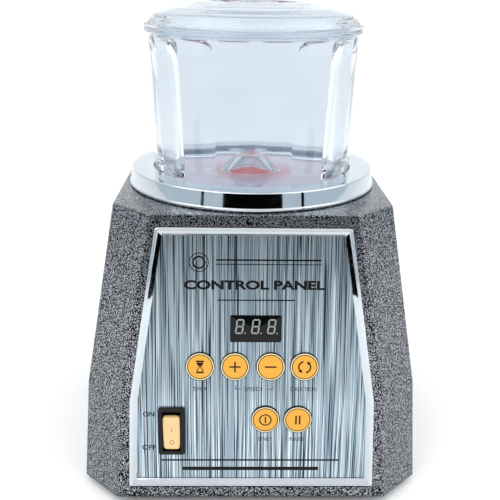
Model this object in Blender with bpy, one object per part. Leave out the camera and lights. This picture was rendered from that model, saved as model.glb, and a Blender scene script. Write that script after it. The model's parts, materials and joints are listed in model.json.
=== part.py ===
"""Bench-top magnetic tumbler: octagonal housing, clear bowl and lid, sloped control panel.

Lengths are millimetres and become metres when a mesh or a location is written.
Origin: on the surface the feet stand on, below the middle of the housing. +Z is up, the panel faces -Y.
"""
import math

import bmesh
import bpy
from mathutils import Vector

MM = 0.001
GAP = 0.3                    # air between pieces that touch

# Housing: a square with cut corners that narrows upwards in two slopes
FOOT_HEIGHT = 5.0
HALF_BOTTOM = 100.0
HALF_BEND = 96.0
HALF_TOP = 79.6
BEND_Z = 66.1
TOP_Z = 170.7
CORNER_CUT = 22.4
CORNER_RADIUS = 2.5
TOP_RADIUS = 1.6
WALL = 1.5
LOWER_LEAN = math.atan((HALF_BOTTOM - HALF_BEND) / (BEND_Z - FOOT_HEIGHT))
UPPER_LEAN = math.atan((HALF_BEND - HALF_TOP) / (TOP_Z - BEND_Z))
TOP_HOLE_RADIUS = 62.5
WALL_CORNER_CUT = WALL * (2.0 - math.sqrt(2.0))    # what an inward offset takes off the corner cut

# Base plate and feet
PLATE_THICKNESS = 1.5
PLATE_LOW = FOOT_HEIGHT + GAP
PLATE_HIGH = PLATE_LOW + PLATE_THICKNESS
FOOT_SPREAD = 72.0
FOOT_RADIUS = 11.0
SCREW_HOLE_RADIUS = 1.9
SIDE_TAB_LENGTH = 124.0
SIDE_TAB_HEIGHT = 16.0
SIDE_SCREW_Z = 16.0
SIDE_SCREW_SPREAD = 50.0
FLOOR_SLOT = (60.0, 6.0)     # air slots in the floor: length and width
FLOOR_SLOT_ROWS = (-10.0, 2.0, 14.0, 26.0)
CASE_SCREW_LENGTH = 8.0

# Air slots high in the back wall
VENT_SLOT = (76.0, 3.2)
VENT_FIRST = 34.0
VENT_PITCH = 8.0
VENT_COUNT = 6

# Control panel, measured along the slope: distance above the bend, half width there
PANEL_TOP = 98.8
PANEL_BOTTOM = -54.2
PANEL_HALF_TOP = 53.8
PANEL_HALF_BEND = 68.9
PANEL_HALF_BOTTOM = 70.6
PANEL_CORNER_RADIUS = 2.2
FRAME_LAND = 1.7
FRAME_WIDTH = 4.4
FRAME_RISE = 1.1
PLATE_MARGIN = 2.3           # how far the panel plate reaches past the frame, behind the wall
PANEL_FRONT = -WALL - GAP
PANEL_THICKNESS = 1.0
PANEL_BACK = PANEL_FRONT - PANEL_THICKNESS

# Controls: (name, across, along the slope)
UPPER_BUTTONS = (
    ("button_timer", -29.4, 19.9),
    ("button_increase", -9.8, 19.9),
    ("button_decrease", 10.2, 19.9),
    ("button_direction", 29.3, 19.9),
)
LOWER_BUTTONS = (
    ("button_start", 7.7, -12.0),
    ("button_pause", 26.2, -12.0),
)
BUTTON_RADIUS = 7.9
BUTTON_HOLE_RADIUS = 8.3
BUTTON_FLANGE_RADIUS = 8.8
BUTTON_RISE = 1.2
UPPER_STEM_END = -7.0
LOWER_STEM_END = -5.6
DISPLAY_CENTRE = (1.6, 41.8)
DISPLAY_SIZE = (28.0, 15.0)
DISPLAY_FRONT = -1.5
BOARD_FRONT = -11.4
BOARD_THICKNESS = 1.6
TACT_HEIGHT = 3.5
TACT_SIZE = 6.0
ROCKER_CENTRE = (-45.7, -19.4)
ROCKER_BEZEL = (15.0, 29.0)
ROCKER_OPENING = (10.3, 24.6)
ROCKER_HOLE = (13.0, 27.0)
ROCKER_BARREL = (12.4, 26.4)
ROCKER_KEY_WIDTH = 9.5
ROCKER_KEY_HALF = 10.8
ROCKER_PIVOT = PANEL_FRONT - 3.0
ROCKER_TILT = math.atan(1.7 / ROCKER_KEY_HALF)

# Seat, bowl and lid
RING_BOTTOM = TOP_Z + GAP
RING_TOP = 181.6
RING_RADIUS_LOW = 76.3
RING_RADIUS_TOP = 74.7
RING_OPENING = 61.3
SEAT_RADIUS = 72.0
SEAT_TOP = 173.0
PAD_RADIUS = 60.5
PAD_TOP = 176.2
BOWL_BASE = 176.5
BOWL_FLOOR = 179.7
BOWL_RIM = 264.0
BOWL_RADIUS_LOW = 60.7
BOWL_RADIUS_HIGH = 63.0
BOWL_RIM_WALL = 2.8
BOWL_FACETS = 16
FACET_TOP = 254.5
FACET_RADIUS_TOP = 57.0
FACET_RADIUS_LOW = 53.0
RIM_BORE_LOW = 260.0
LIP_RADIUS = 65.2
LIP_LOW = 261.8
LID_LOW = BOWL_RIM + GAP
LID_TOP = 279.0

# Drive: motor under a plate, rotor with magnets below the seat
MOTOR_RADIUS = 28.0
MOTOR_BOSS = 9.0
MOTOR_LOW = 60.0
MOTOR_PLATE_LOW = 117.8
MOTOR_PLATE_HIGH = 120.8
MOTOR_PLATE_HALF = 54.0
PILLAR_SPREAD = 45.0
PILLAR_RADIUS = 4.0
STUD_RADIUS = 2.0
SHAFT_RADIUS = 4.0
HUB_RADIUS = 12.0
HUB_LOW = 143.0
ROTOR_LOW = 155.0
ROTOR_HIGH = 163.0
ROTOR_RADIUS = 52.0
MAGNET_COUNT = 6
MAGNET_CIRCLE = 40.0
MAGNET_RADIUS = 9.0
MAGNET_LOW = 158.3
MAGNET_TOP = 168.0

# Mains inlet on the back wall
INLET_CENTRE = (38.0, -26.0)
INLET_HOLE = (28.0, 21.0)
INLET_BODY = (27.2, 20.2)
INLET_FLANGE = (50.0, 24.0)
INLET_FLANGE_TOP = 2.6
INLET_SCREW_SPREAD = 20.0
INLET_SCREW_LENGTH = 10.0
INLET_PINS = ((-7.0, -1.5), (0.0, 2.5), (7.0, -1.5))

# Boxes on the floor
SUPPLY_SIZE = (34.0, 70.0, 30.0)
SUPPLY_CENTRE = (-70.0, 16.0)
DRIVER_SIZE = (34.0, 60.0, 22.0)
DRIVER_CENTRE = (70.0, 2.0)
DRIVER_GROOVES = (61.0, 67.0, 73.0, 79.0)

FINE_STEPS = 48
MAGNET_STEPS = 16
SMALL_STEPS = 24
SCREW_STEPS = 12


def clear_scene():
    """Remove whatever the open file holds."""
    for obj in list(bpy.data.objects):
        bpy.data.objects.remove(obj, do_unlink=True)


def make_material(name, colour, roughness, metallic=0.0, alpha=1.0):
    """One Principled material per kind of surface."""
    material = bpy.data.materials.new(name)
    material.use_nodes = True
    shader = material.node_tree.nodes["Principled BSDF"]
    shader.inputs["Base Color"].default_value = (*colour, 1.0)
    shader.inputs["Roughness"].default_value = roughness
    shader.inputs["Metallic"].default_value = metallic
    shader.inputs["Alpha"].default_value = alpha
    material.diffuse_color = (*colour, alpha)
    return material


def make_materials():
    """All the finishes of the machine, by slot name."""
    return {
        "hammertone": make_material("hammertone", (0.30, 0.30, 0.32), 0.45, 0.4),
        "chrome": make_material("chrome", (0.80, 0.82, 0.84), 0.08, 1.0),
        "clear_plastic": make_material("clear_plastic", (0.86, 0.92, 0.95), 0.08, 0.0, 0.3),
        "panel_metal": make_material("panel_metal", (0.42, 0.49, 0.56), 0.35, 0.9),
        "zinc_steel": make_material("zinc_steel", (0.62, 0.63, 0.65), 0.4, 0.9),
        "orange_plastic": make_material("orange_plastic", (0.85, 0.42, 0.05), 0.4),
        "cream_plastic": make_material("cream_plastic", (0.90, 0.66, 0.35), 0.4),
        "black_plastic": make_material("black_plastic", (0.02, 0.02, 0.02), 0.5),
        "display_tint": make_material("display_tint", (0.02, 0.02, 0.03), 0.1),
        "board_green": make_material("board_green", (0.03, 0.18, 0.09), 0.5),
        "red_rubber": make_material("red_rubber", (0.75, 0.10, 0.10), 0.6),
        "black_rubber": make_material("black_rubber", (0.03, 0.03, 0.03), 0.8),
        "rotor_aluminium": make_material("rotor_aluminium", (0.70, 0.71, 0.72), 0.35, 1.0),
        "magnet_nickel": make_material("magnet_nickel", (0.66, 0.64, 0.60), 0.2, 1.0),
        "motor_steel": make_material("motor_steel", (0.35, 0.36, 0.38), 0.4, 0.9),
    }


# ---------------------------------------------------------------- mesh helpers

def rounded(corners, radii, segments=3):
    """Polygon whose corners become arcs; a radius of 0 keeps the corner sharp."""
    points = []
    count = len(corners)
    for index, corner in enumerate(corners):
        here = Vector(corner)
        if radii[index] <= 0.0:
            points.append(tuple(here))
            continue
        back = (Vector(corners[index - 1]) - here).normalized()
        ahead = (Vector(corners[(index + 1) % count]) - here).normalized()
        half_angle = back.angle(ahead) / 2.0
        centre = here + (back + ahead).normalized() * radii[index] / math.sin(half_angle)
        start = here + back * radii[index] / math.tan(half_angle) - centre
        sweep = start.angle_signed(here + ahead * radii[index] / math.tan(half_angle) - centre)
        for step in range(segments + 1):
            turn = -sweep * step / segments
            x = start.x * math.cos(turn) - start.y * math.sin(turn)
            y = start.x * math.sin(turn) + start.y * math.cos(turn)
            points.append((centre.x + x, centre.y + y))
    return points


def rectangle(width, height, radius, centre=(0.0, 0.0), segments=3):
    """Rounded rectangle round a centre, anticlockwise."""
    x, y = centre
    w, h = width / 2.0, height / 2.0
    corners = [(x - w, y - h), (x + w, y - h), (x + w, y + h), (x - w, y + h)]
    return rounded(corners, [radius] * 4, segments)


def circle(radius, steps, z=None, centre=(0.0, 0.0)):
    """Points round a circle, flat or at a height."""
    angles = [2.0 * math.pi * step / steps for step in range(steps)]
    points = [(centre[0] + radius * math.cos(a), centre[1] + radius * math.sin(a)) for a in angles]
    if z is None:
        return points
    return [(x, y, z) for x, y in points]


def octagon(half, cut, z, radius=CORNER_RADIUS):
    """Square with cut corners at height z; every corner gets a small radius."""
    side = half - cut
    corners = [(half, -side), (half, side), (side, half), (-side, half),
               (-half, side), (-half, -side), (-side, -half), (side, -half)]
    return [(x, y, z) for x, y in rounded(corners, [radius] * 8, 2)]


def closed_mesh(bm):
    """Make every face of a finished solid look outwards."""
    bmesh.ops.recalc_face_normals(bm, faces=bm.faces)
    return bm


def lofted(rings, loop=False, fold=None):
    """Skin rings of equal length; the ends are joined in a loop, or capped.

    A bent cap is two flat faces that meet on a fold, given as the indices of its two ends.
    """
    bm = bmesh.new()
    rows = [[bm.verts.new(Vector(point) * MM) for point in ring] for ring in rings]
    pairs = list(zip(rows, rows[1:]))
    if loop:
        pairs.append((rows[-1], rows[0]))
    else:
        first, last = fold or (0, 0)
        for row in (rows[0], rows[-1]):
            if fold:
                bm.faces.new(row[first:last + 1])
            bm.faces.new(row[last:] + row[:first + 1] if fold else row)
    count = len(rows[0])
    for low, high in pairs:
        for index in range(count):
            after = (index + 1) % count
            bm.faces.new((low[index], low[after], high[after], high[index]))
    return closed_mesh(bm)


def prism(outline, low, high):
    """Flat outline pushed straight up from one height to another."""
    bm = bmesh.new()
    face = bm.faces.new([bm.verts.new((x * MM, y * MM, low * MM)) for x, y in outline])
    lifted = bmesh.ops.extrude_face_region(bm, geom=[face])
    verts = [item for item in lifted["geom"] if isinstance(item, bmesh.types.BMVert)]
    bmesh.ops.translate(bm, verts=verts, vec=(0.0, 0.0, (high - low) * MM))
    return closed_mesh(bm)


def turned(profile, steps=SMALL_STEPS, ring=False):
    """Spin a (radius, height) profile about Z; a ring profile is closed, others meet the axis."""
    bm = bmesh.new()
    verts = [bm.verts.new((radius * MM, 0.0, height * MM)) for radius, height in profile]
    edges = [bm.edges.new(pair) for pair in zip(verts, verts[1:])]
    if ring:
        edges.append(bm.edges.new((verts[-1], verts[0])))
    bmesh.ops.spin(bm, geom=verts + edges, cent=(0, 0, 0), axis=(0, 0, 1),
                   angle=2.0 * math.pi, steps=steps, use_merge=True)
    bmesh.ops.remove_doubles(bm, verts=bm.verts, dist=1e-6)
    return closed_mesh(bm)


def side_profile(outline, width):
    """Outline in the (along, outward) plane pushed across by a width, centred on zero."""
    rings = [[(x, y, z) for y, z in outline] for x in (-width / 2.0, width / 2.0)]
    return lofted(rings)


# ---------------------------------------------------------------- object helpers

def add_object(name, bm, material, parent=None, location=(0.0, 0.0, 0.0), smooth=True):
    """Turn a bmesh into one named object with its material."""
    mesh = bpy.data.meshes.new(name)
    bm.to_mesh(mesh)
    bm.free()
    if smooth:
        mesh.shade_smooth()
        mesh.set_sharp_from_angle(angle=math.radians(32.0))
    if material is not None:
        mesh.materials.append(material)
    obj = bpy.data.objects.new(name, mesh)
    bpy.context.collection.objects.link(obj)
    obj.parent = parent
    obj.location = Vector(location) * MM
    return obj


def copy_object(source, name, location):
    """Another object on the same mesh, under the same parent."""
    obj = bpy.data.objects.new(name, source.data)
    bpy.context.collection.objects.link(obj)
    obj.parent = source.parent
    obj.location = Vector(location) * MM
    return obj


def combine(target, bm, operation, name, parent=None, location=(0.0, 0.0, 0.0)):
    """Cut or join a guide shape with a Boolean; the guide itself is not part of the machine."""
    guide = add_object(name, bm, None, parent, location, smooth=False)
    guide.hide_render = True
    guide.display_type = "WIRE"
    modifier = target.modifiers.new(name, "BOOLEAN")
    modifier.operation = operation
    modifier.solver = "EXACT"
    modifier.object = guide
    return guide


def cut(target, bm, name, parent=None, location=(0.0, 0.0, 0.0)):
    """Remove a guide shape from the target."""
    return combine(target, bm, "DIFFERENCE", name, parent, location)


def join(target, bm, name, parent=None, location=(0.0, 0.0, 0.0)):
    """Fuse a guide shape into the target."""
    return combine(target, bm, "UNION", name, parent, location)


def face_frame(name, turn, lean):
    """Empty on the bend line of one wall: X across, Y up the slope, Z outwards."""
    empty = bpy.data.objects.new(name, None)
    bpy.context.collection.objects.link(empty)
    distance = HALF_BEND * MM
    empty.location = (distance * math.sin(turn), -distance * math.cos(turn), BEND_Z * MM)
    empty.rotation_euler = (math.pi / 2.0 - lean, 0.0, turn)
    return empty


def on_front(across, along, outward):
    """Point of the bent front wall: across it, up its slope from the bend, and out of it."""
    lean = UPPER_LEAN if along > 0.0 else LOWER_LEAN
    reach = outward
    if along == 0.0:
        lean = (UPPER_LEAN + LOWER_LEAN) / 2.0
        reach = outward / math.cos((UPPER_LEAN - LOWER_LEAN) / 2.0)
    y = -HALF_BEND + along * math.sin(lean) - reach * math.cos(lean)
    z = BEND_Z + along * math.cos(lean) + reach * math.sin(lean)
    return (across, y, z)


def panel_outline(inset, outward):
    """The panel's bent outline, moved in from the frame's outer edge, at a depth of the wall."""
    upper_slope = (PANEL_HALF_BEND - PANEL_HALF_TOP) / PANEL_TOP
    lower_slope = (PANEL_HALF_BOTTOM - PANEL_HALF_BEND) / -PANEL_BOTTOM
    top = PANEL_TOP - inset
    bottom = PANEL_BOTTOM + inset
    half_bend = PANEL_HALF_BEND - inset
    half_top = half_bend - upper_slope * top
    half_bottom = half_bend - lower_slope * bottom
    corners = [(-half_bottom, bottom), (half_bottom, bottom), (half_bend, 0.0),
               (half_top, top), (-half_top, top), (-half_bend, 0.0)]
    radius = max(PANEL_CORNER_RADIUS - inset, 0.5)
    flat = rounded(corners, [radius, radius, 0.0, radius, radius, 0.0])
    return [on_front(across, along, outward) for across, along in flat]


def bent_plate(inset, low, high):
    """Plate of the panel's outline that follows the bend of the front wall."""
    count = len(panel_outline(inset, low))
    return lofted([panel_outline(inset, depth) for depth in (low, high)], fold=(count // 2 - 1, count - 1))


# ---------------------------------------------------------------- housing

def half_at(z):
    """Half width of the housing's outside at a height."""
    if z > BEND_Z:
        return HALF_BEND - (z - BEND_Z) * math.tan(UPPER_LEAN)
    return HALF_BOTTOM - (z - FOOT_HEIGHT) * math.tan(LOWER_LEAN)


def build_housing(mats, frames):
    """Folded steel shell, open below, with holes for the seat, the panel, air and the inlet."""
    inner_cut = CORNER_CUT - WALL_CORNER_CUT
    inner_radius = CORNER_RADIUS - WALL / 2.0
    shoulder = TOP_Z - TOP_RADIUS
    rings = [
        octagon(half_at(TOP_Z - WALL) - WALL, inner_cut, TOP_Z - WALL, inner_radius),
        octagon(HALF_BEND - WALL, inner_cut, BEND_Z, inner_radius),
        octagon(HALF_BOTTOM - WALL, inner_cut, FOOT_HEIGHT, inner_radius),
        octagon(HALF_BOTTOM, CORNER_CUT, FOOT_HEIGHT),
        octagon(HALF_BEND, CORNER_CUT, BEND_Z),
        octagon(half_at(shoulder), CORNER_CUT, shoulder),
        octagon(half_at(shoulder) - TOP_RADIUS * 0.25, CORNER_CUT, TOP_Z - TOP_RADIUS * 0.25),
        octagon(half_at(shoulder) - TOP_RADIUS, CORNER_CUT, TOP_Z),
    ]
    shell = add_object("housing_shell", lofted(rings), mats["hammertone"])
    cut(shell, prism(circle(TOP_HOLE_RADIUS, FINE_STEPS), TOP_Z - 5.0, TOP_Z + 5.0), "guide_top_hole")
    cut(shell, bent_plate(FRAME_LAND, -WALL - 4.0, 4.0), "guide_panel_window")
    for row in range(VENT_COUNT):
        slot = prism(rectangle(*VENT_SLOT, 1.5, (0.0, VENT_FIRST + VENT_PITCH * row)), -4.0, 4.0)
        cut(shell, slot, f"guide_vent_{row}", frames["rear_upper"])
    inlet_hole = prism(rectangle(*INLET_HOLE, 1.0, INLET_CENTRE), -4.0, 4.0)
    cut(shell, inlet_hole, "guide_inlet_hole", frames["rear_lower"])
    for side in (-1, 1):
        across = INLET_CENTRE[0] + side * INLET_SCREW_SPREAD
        hole = prism(circle(SCREW_HOLE_RADIUS, SCREW_STEPS, centre=(across, INLET_CENTRE[1])), -4.0, 4.0)
        cut(shell, hole, f"guide_inlet_screw_hole_{side + 1}", frames["rear_lower"])
    for wall in ("right", "left"):
        for side in (-1, 1):
            hole = prism(circle(SCREW_HOLE_RADIUS, SCREW_STEPS), -6.0, 4.0)
            place = (side * SIDE_SCREW_SPREAD, side_screw_along(), 0.0)
            cut(shell, hole, f"guide_{wall}_hole_{side + 1}", frames[wall], place)
    return shell


def side_screw_along():
    """Where the side screws sit on the slope, below the bend."""
    return -(BEND_Z - SIDE_SCREW_Z) / math.cos(LOWER_LEAN)


def build_base(mats, frames):
    """Steel floor with an upturned tab on each side, four feet and their screws."""
    inset = WALL + GAP
    outline = [(x, y) for x, y, _ in octagon(HALF_BOTTOM - inset - 0.3, CORNER_CUT - 1.0, 0.0)]
    plate = add_object("base_plate", prism(outline, PLATE_LOW, PLATE_HIGH), mats["zinc_steel"])
    along_low = -(BEND_Z - PLATE_LOW) / math.cos(LOWER_LEAN) + 0.6
    for wall in ("right", "left"):
        tab = rectangle(SIDE_TAB_LENGTH, SIDE_TAB_HEIGHT, 3.0, (0.0, along_low + SIDE_TAB_HEIGHT / 2.0))
        join(plate, prism(tab, -inset - PLATE_THICKNESS, -inset), f"guide_{wall}_tab", frames[wall])
        for side in (-1, 1):
            hole = prism(circle(SCREW_HOLE_RADIUS, SCREW_STEPS), -6.0, 0.0)
            place = (side * SIDE_SCREW_SPREAD, side_screw_along(), 0.0)
            cut(plate, hole, f"guide_{wall}_tab_hole_{side + 1}", frames[wall], place)
    for row, y in enumerate(FLOOR_SLOT_ROWS):
        slot = prism(rectangle(*FLOOR_SLOT, 2.4, (0.0, y)), PLATE_LOW - 2.0, PLATE_HIGH + 2.0)
        cut(plate, slot, f"guide_floor_slot_{row}")
    foot_profile = [(4.3, 0.0), (9.6, 0.0), (10.4, 0.8), (FOOT_RADIUS, FOOT_HEIGHT),
                    (SCREW_HOLE_RADIUS, FOOT_HEIGHT), (SCREW_HOLE_RADIUS, 2.8), (4.3, 2.8)]
    screw_profile = [(0.0, 0.7), (3.0, 0.7), (3.8, 1.5), (3.8, 2.5), (1.5, 2.5), (1.5, 13.0), (0.0, 13.0)]
    first_foot, first_screw = None, None
    corners = {"front_left": (-1, -1), "front_right": (1, -1), "back_left": (-1, 1), "back_right": (1, 1)}
    for corner, (sx, sy) in corners.items():
        place = (sx * FOOT_SPREAD, sy * FOOT_SPREAD, 0.0)
        hole = prism(circle(SCREW_HOLE_RADIUS, SCREW_STEPS), PLATE_LOW - 2.0, PLATE_HIGH + 2.0)
        cut(plate, hole, f"guide_foot_hole_{corner}", location=place)
        if first_foot is None:
            first_foot = add_object(f"foot_{corner}", turned(foot_profile, ring=True),
                                    mats["black_rubber"], location=place)
            first_screw = add_object(f"foot_screw_{corner}", turned(screw_profile, SCREW_STEPS),
                                     mats["zinc_steel"], location=place)
        else:
            copy_object(first_foot, f"foot_{corner}", place)
            copy_object(first_screw, f"foot_screw_{corner}", place)


def screw(length):
    """Pan-head screw standing on a face: head outside, shank inwards."""
    profile = [(0.0, 1.9), (1.7, 1.75), (2.8, 1.2), (3.1, GAP), (1.5, GAP), (1.5, -length), (0.0, -length)]
    return turned(profile, SCREW_STEPS)


def build_side_screws(mats, frames):
    """Two screws in each side wall hold the shell to the base plate's tabs."""
    for wall in ("right", "left"):
        for label, side in (("front", -1), ("back", 1)):
            place = (side * SIDE_SCREW_SPREAD, side_screw_along(), 0.0)
            add_object(f"case_screw_{wall}_{label}", screw(CASE_SCREW_LENGTH), mats["zinc_steel"],
                       frames[wall], place)


# ---------------------------------------------------------------- panel

def build_panel(mats, frames):
    """Bent metal panel behind the window, and the chrome frame round it."""
    plate = add_object("front_panel", bent_plate(-PLATE_MARGIN, PANEL_BACK, PANEL_FRONT),
                       mats["panel_metal"], smooth=False)
    for frame, buttons in (("front_upper", UPPER_BUTTONS), ("front_lower", LOWER_BUTTONS)):
        for name, across, along in buttons:
            hole = prism(circle(BUTTON_HOLE_RADIUS, SMALL_STEPS), PANEL_BACK - 2.0, PANEL_FRONT + 2.0)
            cut(plate, hole, f"guide_{name}_hole", frames[frame], (across, along, 0.0))
    width, height = DISPLAY_SIZE
    openings = {
        "display": (rectangle(width + 2 * GAP, height + 2 * GAP, 0.8, DISPLAY_CENTRE), frames["front_upper"]),
        "rocker": (rectangle(*ROCKER_HOLE, 0.6, ROCKER_CENTRE), frames["front_lower"]),
    }
    for name, (outline, parent) in openings.items():
        cut(plate, prism(outline, PANEL_BACK - 2.0, PANEL_FRONT + 2.0), f"guide_{name}_hole", parent)
    section = [(0.0, GAP), (0.0, FRAME_RISE - 0.4), (0.4, FRAME_RISE), (FRAME_LAND, FRAME_RISE),
               (FRAME_WIDTH, -WALL + 0.3), (FRAME_WIDTH, -WALL), (FRAME_LAND + GAP, -WALL),
               (FRAME_LAND + GAP, GAP)]
    rings = [panel_outline(inset, outward) for inset, outward in section]
    add_object("panel_frame", lofted(rings, loop=True), mats["chrome"])


def button_profile(stem_end):
    """Half section of a key: rimmed cap, retaining flange behind the panel, short stem."""
    top = PANEL_FRONT + BUTTON_RISE
    flange = PANEL_BACK - GAP
    return [(0.0, top), (7.2, top), (BUTTON_RADIUS, top - 0.5), (BUTTON_RADIUS, flange),
            (BUTTON_FLANGE_RADIUS, flange), (BUTTON_FLANGE_RADIUS, flange - 0.8), (2.0, flange - 0.8),
            (2.0, stem_end), (0.0, stem_end)]


def build_buttons(mats, frames):
    """Six push keys, each on its own spring, each with its origin on its own axis."""
    rows = (("front_upper", UPPER_BUTTONS, UPPER_STEM_END), ("front_lower", LOWER_BUTTONS, LOWER_STEM_END))
    for frame, buttons, stem_end in rows:
        for name, across, along in buttons:
            key = turned(button_profile(stem_end))
            add_object(name, key, mats["orange_plastic"], frames[frame], (across, along, 0.0))


def build_display(mats, frames):
    """Dark window in the panel, the digit module behind it and the board that carries both rows of keys."""
    parent = frames["front_upper"]
    width, height = DISPLAY_SIZE
    window = prism(rectangle(width, height, 0.6, DISPLAY_CENTRE), PANEL_BACK - 0.8, DISPLAY_FRONT)
    add_object("display_window", window, mats["display_tint"], parent)
    module = prism(rectangle(22.5, 14.0, 0.4, DISPLAY_CENTRE, 1), BOARD_FRONT + GAP, PANEL_BACK - 1.2)
    add_object("display_module", module, mats["black_plastic"], parent)
    corners = [(-4.0, -24.0), (41.0, -24.0), (41.0, 55.0), (-42.0, 55.0), (-42.0, 7.0), (-4.0, 7.0)]
    board_low = BOARD_FRONT - BOARD_THICKNESS
    board = add_object("control_board", prism(corners, board_low, BOARD_FRONT), mats["board_green"], parent,
                       smooth=False)
    drop = UPPER_LEAN - LOWER_LEAN
    for name, across, along in UPPER_BUTTONS + LOWER_BUTTONS:
        place = along if along > 0.0 else along * math.cos(drop) - BOARD_FRONT * math.sin(drop) * 0.5
        tact = rectangle(TACT_SIZE, TACT_SIZE, 0.0, (across, place))
        join(board, prism(tact, BOARD_FRONT - 0.8, BOARD_FRONT + TACT_HEIGHT), f"guide_tact_{name}", parent)
    spacers = {"top_left": (-38.5, 51.0, PANEL_BACK), "top_right": (37.5, 51.0, PANEL_BACK),
               "middle_left": (-39.0, 11.0, PANEL_BACK), "bottom_right": (37.0, -20.5, PANEL_BACK - 2.2)}
    for label, (across, along, front) in spacers.items():
        spacer = turned([(0.0, front - GAP), (2.5, front - GAP), (2.5, BOARD_FRONT + GAP),
                         (0.0, BOARD_FRONT + GAP)], SCREW_STEPS)
        add_object(f"board_spacer_{label}", spacer, mats["zinc_steel"], parent, (across, along, 0.0))


def rocker_side():
    """Side view of the rocker key about its pivot, turned to the resting (off) position."""
    half = ROCKER_KEY_HALF
    level = [(-half, 5.6), (-10.2, 1.6), (-6.0, -3.4), (6.0, -3.4), (10.2, 1.6), (half, 5.6),
             (half - 0.5, 5.8), (0.0, 4.0), (-half + 0.5, 5.8)]
    c, s = math.cos(ROCKER_TILT), math.sin(ROCKER_TILT)
    return [(y * c - z * s, y * s + z * c) for y, z in level]


def build_rocker(mats, frames):
    """Power switch: black body with a bezel, and a two-way key tilting in it."""
    parent = frames["front_lower"]
    body = prism(rectangle(*ROCKER_BEZEL, 1.2, ROCKER_CENTRE), PANEL_FRONT + GAP, PANEL_FRONT + 1.7)
    bezel = add_object("rocker_bezel", body, mats["black_plastic"], parent, smooth=False)
    barrel = prism(rectangle(*ROCKER_BARREL, 0.4, ROCKER_CENTRE), PANEL_FRONT - 13.0, PANEL_FRONT + 0.8)
    join(bezel, barrel, "guide_rocker_barrel", parent)
    for along in (-8.0, 0.0, 8.0):
        centre = (ROCKER_CENTRE[0], ROCKER_CENTRE[1] + along)
        blade = prism(rectangle(0.8, 4.8, 0.0, centre), PANEL_FRONT - 21.0, PANEL_FRONT - 12.0)
        join(bezel, blade, f"guide_rocker_blade_{int(along) + 8}", parent)
    well = prism(rectangle(*ROCKER_OPENING, 0.4, ROCKER_CENTRE), PANEL_FRONT - 8.5, PANEL_FRONT + 3.0)
    cut(bezel, well, "guide_rocker_well", parent)
    key = side_profile(rocker_side(), ROCKER_KEY_WIDTH)
    place = (*ROCKER_CENTRE, ROCKER_PIVOT)
    add_object("rocker_key", key, mats["cream_plastic"], parent, place, smooth=False)


# ---------------------------------------------------------------- seat, bowl and lid

def build_seat(mats):
    """Chrome ring on the housing, round plate over its hole, red rubber pad on the plate."""
    ring_profile = [(RING_RADIUS_LOW, RING_BOTTOM + 1.2), (RING_RADIUS_TOP, RING_TOP - 0.7),
                    (RING_RADIUS_TOP - 0.7, RING_TOP), (RING_OPENING + 0.6, RING_TOP),
                    (RING_OPENING, RING_TOP - 0.6), (RING_OPENING, SEAT_TOP + 1.0),
                    (RING_OPENING + 1.8, SEAT_TOP + 1.0), (RING_OPENING + 1.8, RING_TOP - 1.8),
                    (RING_RADIUS_TOP - 2.0, RING_TOP - 1.8), (RING_RADIUS_LOW - 2.0, RING_BOTTOM),
                    (RING_RADIUS_LOW - 0.7, RING_BOTTOM)]
    add_object("chrome_ring", turned(ring_profile, FINE_STEPS, ring=True), mats["chrome"])
    plate_profile = [(0.0, RING_BOTTOM), (SEAT_RADIUS, RING_BOTTOM), (SEAT_RADIUS, SEAT_TOP), (0.0, SEAT_TOP)]
    add_object("seat_plate", turned(plate_profile, FINE_STEPS), mats["rotor_aluminium"])
    pad_low = SEAT_TOP + GAP
    pad_profile = [(0.0, pad_low), (PAD_RADIUS, pad_low), (PAD_RADIUS, PAD_TOP - 0.6),
                   (PAD_RADIUS - 0.6, PAD_TOP), (0.0, PAD_TOP)]
    add_object("seat_pad", turned(pad_profile, FINE_STEPS), mats["red_rubber"])


def facet_ring(radius, z, strength):
    """Ring between a circle (strength 0) and a sixteen-sided outline with a ridge facing front (1)."""
    points = []
    facet = 2.0 * math.pi / BOWL_FACETS
    for step in range(FINE_STEPS):
        angle = 2.0 * math.pi * step / FINE_STEPS
        off_centre = angle % facet - facet / 2.0
        flat = radius * math.cos(facet / 2.0) / math.cos(off_centre)
        reach = radius + (flat - radius) * strength
        points.append((reach * math.cos(angle - math.pi / 2.0), reach * math.sin(angle - math.pi / 2.0), z))
    return points


def bowl_outer_radius(z):
    """The wall widens a little from base to rim."""
    share = (z - BOWL_BASE) / (BOWL_RIM - BOWL_BASE)
    return BOWL_RADIUS_LOW + (BOWL_RADIUS_HIGH - BOWL_RADIUS_LOW) * share


def build_bowl(mats):
    """Clear bowl: round outside, sixteen flats inside below a round bore, flat floor with a hollow boss."""
    def round_ring(radius, z):
        return facet_ring(radius, z, 0.0)

    def flats(radius, z):
        return facet_ring(radius, z, 1.0)

    bore = bowl_outer_radius(BOWL_RIM) - BOWL_RIM_WALL
    rings = [
        round_ring(5.0, 186.9), round_ring(8.2, 187.0), round_ring(13.0, BOWL_BASE),
        round_ring(BOWL_RADIUS_LOW - 1.6, BOWL_BASE),
        round_ring(bowl_outer_radius(BOWL_BASE + 1.6), BOWL_BASE + 1.6),
        round_ring(bowl_outer_radius(LIP_LOW), LIP_LOW), round_ring(LIP_RADIUS, LIP_LOW),
        round_ring(LIP_RADIUS, BOWL_RIM), round_ring(bore, BOWL_RIM), round_ring(bore - 0.1, RIM_BORE_LOW),
        flats(FACET_RADIUS_TOP, FACET_TOP), flats(FACET_RADIUS_LOW, BOWL_FLOOR + 1.4),
        flats(FACET_RADIUS_LOW - 1.4, BOWL_FLOOR), round_ring(15.4, BOWL_FLOOR),
        round_ring(10.8, 189.0), round_ring(9.8, 189.7), round_ring(5.0, 188.7),
    ]
    add_object("bowl", lofted(rings), mats["clear_plastic"])


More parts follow.
